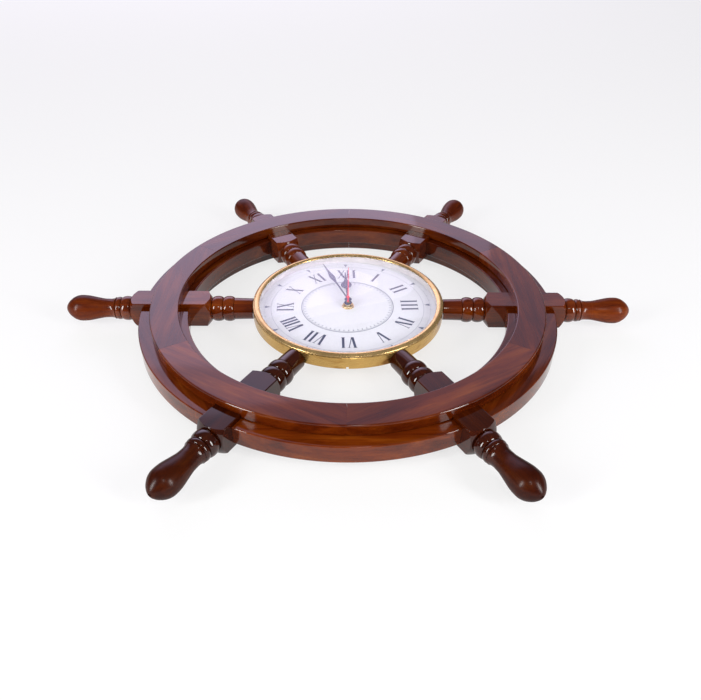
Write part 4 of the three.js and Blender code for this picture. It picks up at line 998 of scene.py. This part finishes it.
NUMERALS = (
    (1, ((0.0, "I", 4.6),)),
    (2, ((-3.5, "I", 4.6), (3.5, "I", 4.6))),
    (3, ((-7.5, "I", 4.6), (0.0, "I", 4.6), (7.5, "I", 4.6))),
    (4, ((-5.8, "I", 4.4), (2.7, "V", 10.8))),
    (5, ((0.0, "V", 11.4),)),
    (6, ((-3.0, "V", 10.2), (6.1, "I", 4.0))),
    (7, ((-5.4, "V", 10.2), (2.9, "I", 4.0), (8.5, "I", 4.0))),
    (8, ((-6.0, "V", 9.4), (0.8, "I", 3.8), (5.5, "I", 3.8), (10.2, "I", 3.8))),
    (9, ((-6.0, "I", 4.2), (2.6, "X", 10.8))),
    (10, ((0.0, "X", 11.2),)),
    (11, ((-2.6, "X", 10.8), (6.0, "I", 4.2))),
    (12, ((-5.4, "X", 10.8), (2.3, "I", 4.4), (9.1, "I", 4.4))),
)


def place_piece(piece, turn=0.0, place=(0, 0, 0)):
    """Turns a piece about the axis and moves it, with its object left at the origin."""
    use(piece)
    piece.rotation_euler.z = turn
    piece.location = place
    bpy.ops.object.transform_apply(location=True, rotation=True)


def join(name, pieces):
    """Makes one piece of several."""
    deselect_all()
    for piece in pieces:
        piece.select_set(True)
    bpy.context.view_layer.objects.active = pieces[0]
    bpy.ops.object.join()
    pieces[0].name = name
    return pieces[0]


letters = {}
numerals = []
for hour, parts in NUMERALS:
    made = []
    for x, letter, width in parts:
        if (letter, width) not in letters:
            letters[letter, width] = glyph(letter, width)
        use(letters[letter, width])
        bpy.ops.object.duplicate()
        made.append(bpy.context.object)
        place_piece(made[-1], place=(x * MM, 0, 0))
    numerals.append(join(f"numeral_{hour}", made))
    place_piece(numerals[-1], -hour * 2 * math.pi / DIAL_HOURS)
for letter in letters.values():
    bpy.data.objects.remove(letter)
numerals = join("dial_numerals", numerals)
place_piece(numerals, PRINT_TURN, PRINT_PLACE)
navy_ink = ink("navy_ink", (0.020, 0.028, 0.070))
finish_piece(numerals, navy_ink, "clock", "navy_paint")


def ink_circle(inner, outer):
    """Flat circular line of ink between two radii in millimetres, drawn in edit mode."""
    bpy.ops.mesh.primitive_circle_add(vertices=ROUND_SIDES, radius=inner * MM,
                                      location=(0, 0, PRINT_LOW))
    bpy.ops.mesh.extrude_edges_move()
    bpy.ops.transform.resize(value=(outer / inner, outer / inner, 1),
                             center_override=(0, 0, PRINT_LOW))


def repeat_round(count):
    """Copies what is drawn so far to count places round the dial."""
    bpy.ops.mesh.select_all(action="SELECT")
    bpy.ops.mesh.spin(steps=count - 1, angle=2 * math.pi * (count - 1) / count, dupli=True,
                      center=(0, 0, 0), axis=(0, 0, 1))


track = begin_print("dial_track")
for inner, outer in TRACK_LINES:
    ink_circle(inner, outer)
thicken_print(track)
dashes = begin_print("dial_dashes")
stroke(dashes, 0, *DASH)
repeat_round(DIAL_MINUTES)
thicken_print(dashes)
chapter = begin_print("dial_chapter")
for inner, outer in CHAPTER_LINES:
    ink_circle(inner, outer)
thicken_print(chapter)
minutes = begin_print("dial_minutes")
stroke(minutes, 0, *MINUTE_MARK)
repeat_round(DIAL_MINUTES)
thicken_print(minutes)
pointers = begin_print("dial_pointers")
stroke(pointers, 0, *POINTER)
select_where(pointers, lambda place: place.y < POINTER_MIDDLE)
bpy.ops.mesh.merge(type="CENTER")
repeat_round(DIAL_HOURS)
thicken_print(pointers)
grey_ink = ink("grey_blue_ink", (0.14, 0.16, 0.21))
pale_ink = ink("pale_ink", (0.22, 0.24, 0.30))
slate_ink = ink("slate_ink", (0.09, 0.11, 0.17))
for piece, cover in ((track, grey_ink), (dashes, grey_ink), (chapter, pale_ink),
                     (minutes, pale_ink), (pointers, slate_ink)):
    place_piece(piece, PRINT_TURN, PRINT_PLACE)
    finish_piece(piece, cover, "clock", "navy_paint")

# Inner ring. A strip of pale moulded plastic bent to a ring. It stands upright inside the case on
# the edge of the dial and carries the glass, which the bezel presses down on it.
ring_low, ring_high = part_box("inner_ring")
STRIP_INNER = 95.3 * MM
STRIP_EDGE = 0.2 * MM
PALE_PLASTIC = (0.50, 0.47, 0.47)
strip = turned("upright_strip", [
    (ring_low.z, STRIP_INNER), (ring_low.z, ring_high.x), (ring_high.z, ring_high.x),
    (ring_high.z, STRIP_INNER + STRIP_EDGE), (ring_high.z - STRIP_EDGE, STRIP_INNER),
    (ring_low.z, STRIP_INNER)], ROUND_SIDES, "Z")
finish_piece(strip, plastic("pale_plastic", PALE_PLASTIC, 0.4, 0.1), "clock",
             "white_plastic", "inner_ring")

# Bezel. A rolled brass ring that caps the case wall: a rounded outer shoulder, a rounded crown and
# a thin lip over the edge of the glass; its skirt grips inside the wall.
bezel_low, bezel_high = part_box("bezel")
SEAT_Z = case_high.z + 0.3 * MM
BEZEL_RADIUS = bezel_high.x
BEZEL_LIP = 95.0 * MM
SKIRT_INNER = 98.6 * MM
SKIRT_OUTER = 99.9 * MM
BEZEL_FOOT_EDGE = 0.4 * MM
BEZEL_SHOULDER = ((0.5, 0.0), (1.2, 0.15), (1.8, 0.75))
BEZEL_CROWN = ((-0.95, 1.5), (-0.35, 2.4), (0.0, 3.6), (-0.15, 4.9), (-0.55, 6.0))
LIP_EDGE = ((0.4, -0.25), (0.0, 0.0))
BEZEL_COLOUR = (0.85, 0.57, 0.24)
lip_low = bezel_high.z - 1.4 * MM
profile = smooth_line([
    *inwards(SEAT_Z, BEZEL_RADIUS, BEZEL_SHOULDER),
    *inwards(bezel_high.z, BEZEL_RADIUS, BEZEL_CROWN), *inwards(lip_low, BEZEL_LIP, LIP_EDGE)])
bezel = turned("bezel_ring", [
    (bezel_low.z, SKIRT_INNER), (bezel_low.z, SKIRT_OUTER), (SEAT_Z, SKIRT_OUTER),
    (SEAT_Z, BEZEL_RADIUS - BEZEL_FOOT_EDGE), *profile, (lip_low, SKIRT_INNER),
    (bezel_low.z, SKIRT_INNER)], ROUND_SIDES, "Z")
finish_piece(bezel, brushed_brass("bezel_brass", (120, 120, 120), BEZEL_COLOUR, 0.15),
             "clock", "brass", "bezel", angle=40)

# Glass. A disc of thin clear glass, bent to a shallow dome with a narrow flat edge. It rests on the
# inner ring and is held under the lip of the bezel.
glass_low, glass_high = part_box("glass")
GLASS_FLAT = 3 * MM
GLASS_THICKNESS = 1.6 * MM
GLASS_BEND = 1.24
DOME_STEPS = 16
dome_radius = glass_high.x - GLASS_FLAT
rise = glass_high.z - glass_low.z - GLASS_THICKNESS
arc = [(rise * (1 - (k / DOME_STEPS) ** 2), dome_radius * k / DOME_STEPS)
       for k in range(DOME_STEPS + 1)]
disc = turned("domed_disc", [
    *[(glass_low.z + up, radius) for up, radius in arc],
    (glass_low.z, glass_high.x), (glass_low.z + GLASS_THICKNESS, glass_high.x),
    *[(glass_low.z + GLASS_THICKNESS + up, radius) for up, radius in reversed(arc)]],
    ROUND_SIDES, "Z")
material, nodes, links, shader = new_material("clear_glass", roughness=0.0)
shader.inputs["Transmission Weight"].default_value = 1.0
shader.inputs["IOR"].default_value = GLASS_BEND
dust = noise(nodes, links, object_place(nodes), (30, 30, 30), 3)
links.new(ramp(nodes, links, dust, (0.4, (0.0, 0.0, 0.0)), (0.9, (0.03, 0.03, 0.03))),
          shader.inputs["Roughness"])
path = nodes.new("ShaderNodeLightPath")
clear = nodes.new("ShaderNodeBsdfTransparent")
blend = nodes.new("ShaderNodeMixShader")
links.new(path.outputs["Is Shadow Ray"], blend.inputs["Fac"])
links.new(shader.outputs["BSDF"], blend.inputs[1])
links.new(clear.outputs["BSDF"], blend.inputs[2])
links.new(blend.outputs["Shader"], nodes["Material Output"].inputs["Surface"])
finish_piece(disc, material, "clock", "glass", "glass", angle=40)

# Centre nut. A round nut turned from brass, with a thin flange at its foot. It screws onto the
# threaded bushing and clamps the dial to the movement.
nut_low, nut_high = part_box("centre_nut")
NUT_BORE = 5.1 * MM
FLANGE = 0.5 * MM
NUT_RADIUS = 5.9 * MM
NUT_EDGE = 0.5 * MM
HUB_COLOUR = (0.80, 0.62, 0.36)
nut = turned("clamp_nut", [
    (nut_low.z, NUT_BORE), (nut_low.z, nut_high.x), (nut_low.z + FLANGE, nut_high.x),
    (nut_low.z + FLANGE, NUT_RADIUS), (nut_high.z - NUT_EDGE, NUT_RADIUS),
    (nut_high.z, NUT_RADIUS - NUT_EDGE), (nut_high.z, NUT_BORE), (nut_low.z, NUT_BORE)], 48, "Z")
hub_brass = brushed_brass("hub_brass", (500, 500, 500), HUB_COLOUR, 0.0)
finish_piece(nut, hub_brass, "clock", "brass", "centre_nut")

# Hands. Three stamped sheet hands: a spade hour hand and a long minute hand with a swelling, both
# dark blue-black, and a straight red second hand, pressed on their own tubes one above another.
HOUR_LENGTH = 64 * MM
MINUTE_LENGTH = 80.8 * MM
SECOND_LENGTH = 62 * MM
HOUR_TURN = math.radians(-3.4)
MINUTE_TURN = math.radians(-21.4)
SECOND_TURN = 0.0
SECOND_TAIL = 10 * MM
SECOND_CAP = 1.7 * MM
SECOND_CAP_EDGE = 0.1 * MM
HOUR_BOSS, HOUR_BORE = 4.3 * MM, 1.9 * MM
MINUTE_BOSS, MINUTE_BORE = 3.9 * MM, 0.9 * MM
HAND_THICKNESS = 0.4 * MM
HAND_EDGE = 0.08 * MM
HOUR_HALF_WIDTH = 6.0 * MM
HOUR_SHAPE = ((0.0, 0.16), (0.40, 0.16), (0.45, 0.19), (0.49, 0.6), (0.545, 0.98), (0.6, 1.0),
              (0.65, 0.74), (0.71, 0.39), (0.78, 0.25), (1.0, 0.09))
MINUTE_HALF_WIDTH = 3.0 * MM
MINUTE_SHAPE = ((0.0, 0.27), (0.42, 0.3), (0.5, 0.5), (0.575, 0.87), (0.63, 1.0), (0.7, 0.73),
                (0.78, 0.4), (1.0, 0.1))
SECOND_OUTLINE = [(-SECOND_TAIL, 0.7 * MM), (0.0, 0.68 * MM), (SECOND_LENGTH, 0.34 * MM)]


def blade(name, outline, z, boss, bore, turn):
    """Flat hand: a strip drawn out station by station, thickened, with a round bored boss."""
    (start, width), (end, second) = outline[0], outline[1]
    deselect_all()
    bpy.ops.mesh.primitive_plane_add(size=1, location=(0, (start + end) / 2, z))
    hand = bpy.context.object
    hand.name = name
    hand.scale = (2 * width, end - start, 1)
    bpy.ops.object.transform_apply(location=True, rotation=True, scale=True)
    edit(hand)
    select_where(hand, lambda place: place.y > (start + end) / 2)
    bpy.ops.transform.resize(value=(second / width, 1, 1), center_override=(0, end, z))
    width = second
    for (before, _), (place, half) in zip(outline[1:], outline[2:]):
        bpy.ops.mesh.extrude_edges_move(TRANSFORM_OT_translate={"value": (0, place - before, 0)})
        bpy.ops.transform.resize(value=(half / width, 1, 1), center_override=(0, place, z))
        width = half
    bpy.ops.mesh.select_all(action="SELECT")
    bpy.ops.mesh.extrude_region_move(TRANSFORM_OT_translate={"value": (0, 0, HAND_THICKNESS)})
    close_up(hand)
    combine(hand, add_rod("boss", boss, z, z + HAND_THICKNESS), "UNION")
    if bore:
        cut(hand, add_rod("bore", bore, z - SPARE, z + 2 * SPARE, sides=32))
    round_edges(hand, HAND_EDGE, 2, 60)
    place_piece(hand, -turn)
    return hand


def shaped(length, half_width, shares):
    """Soft outline from shares of a hand's length and of its widest half."""
    return smooth_line([(length * along, half_width * across) for along, across in shares])


def hand_paint(name, colour):
    """Smooth stove enamel on sheet metal."""
    material, nodes, links, shader = new_material(name, colour, 0.32)
    flow = noise(nodes, links, object_place(nodes), (400, 400, 400), 2)
    links.new(ramp(nodes, links, flow, (0.3, shade(colour, 0.85)), (0.7, colour)),
              shader.inputs["Base Color"])
    links.new(bump(nodes, links, flow, 0.06, 0.00005), shader.inputs["Normal"])
    return material


navy = hand_paint("navy_enamel", (0.022, 0.030, 0.075))
red = hand_paint("red_enamel", (0.75, 0.015, 0.03))
hour_z, minute_z, second_z = (
    heights(node)[0] for node in ("hour_hand", "minute_hand", "second_hand"))
hour = blade("hour_blade", shaped(HOUR_LENGTH, HOUR_HALF_WIDTH, HOUR_SHAPE),
             hour_z, HOUR_BOSS, HOUR_BORE, HOUR_TURN)
minute = blade("minute_blade", shaped(MINUTE_LENGTH, MINUTE_HALF_WIDTH, MINUTE_SHAPE),
               minute_z, MINUTE_BOSS, MINUTE_BORE, MINUTE_TURN)
second = blade("second_needle", SECOND_OUTLINE, second_z, SECOND_CAP, None, SECOND_TURN)
combine(second, add_rod("cap", SECOND_CAP - SECOND_CAP_EDGE, second_z + SECOND_CAP_EDGE,
                        second_z + 2 * HAND_THICKNESS), "UNION")
finish_piece(hour, navy, "hour", "navy_paint", "hour_hand")
finish_piece(minute, navy, "minute", "navy_paint", "minute_hand")
finish_piece(second, red, "second", "red_paint", "second_hand")

# Hidden works. The wheel train, motor, circuit, contacts, dial board and case screws sit inside the
# movement and the case; they keep the plain shapes they were drawn with.
CASE_SCREWS = [f"spoke_screw_{step + 1}" for step in range(SPOKE_COUNT)]
HIDDEN_WORKS = (
    (plain_metal("train_brass", (0.75, 0.52, 0.20)),
     ["threaded_bushing", "centre_wheel", *CASE_SCREWS]),
    (steel, ["stator", "battery_contact_positive", "battery_contact_negative"]),
    (plain_metal("copper_wire", (0.72, 0.33, 0.16), 0.35), ["coil"]),
    (white_plastic, ["setting_knob", "seconds_wheel", "third_wheel", "step_wheel", "rotor",
                     "motion_wheel", "hour_wheel"]),
    (plastic("hardboard", (0.16, 0.08, 0.035), 0.7, 0.4), ["dial_board"]),
    (plastic("green_board", (0.01, 0.10, 0.04), 0.35, 0.1), ["circuit_board"]),
)
for finish, names in HIDDEN_WORKS:
    for name in names:
        frame["nodes"][name].data.materials.clear()
        frame["nodes"][name].data.materials.append(finish)
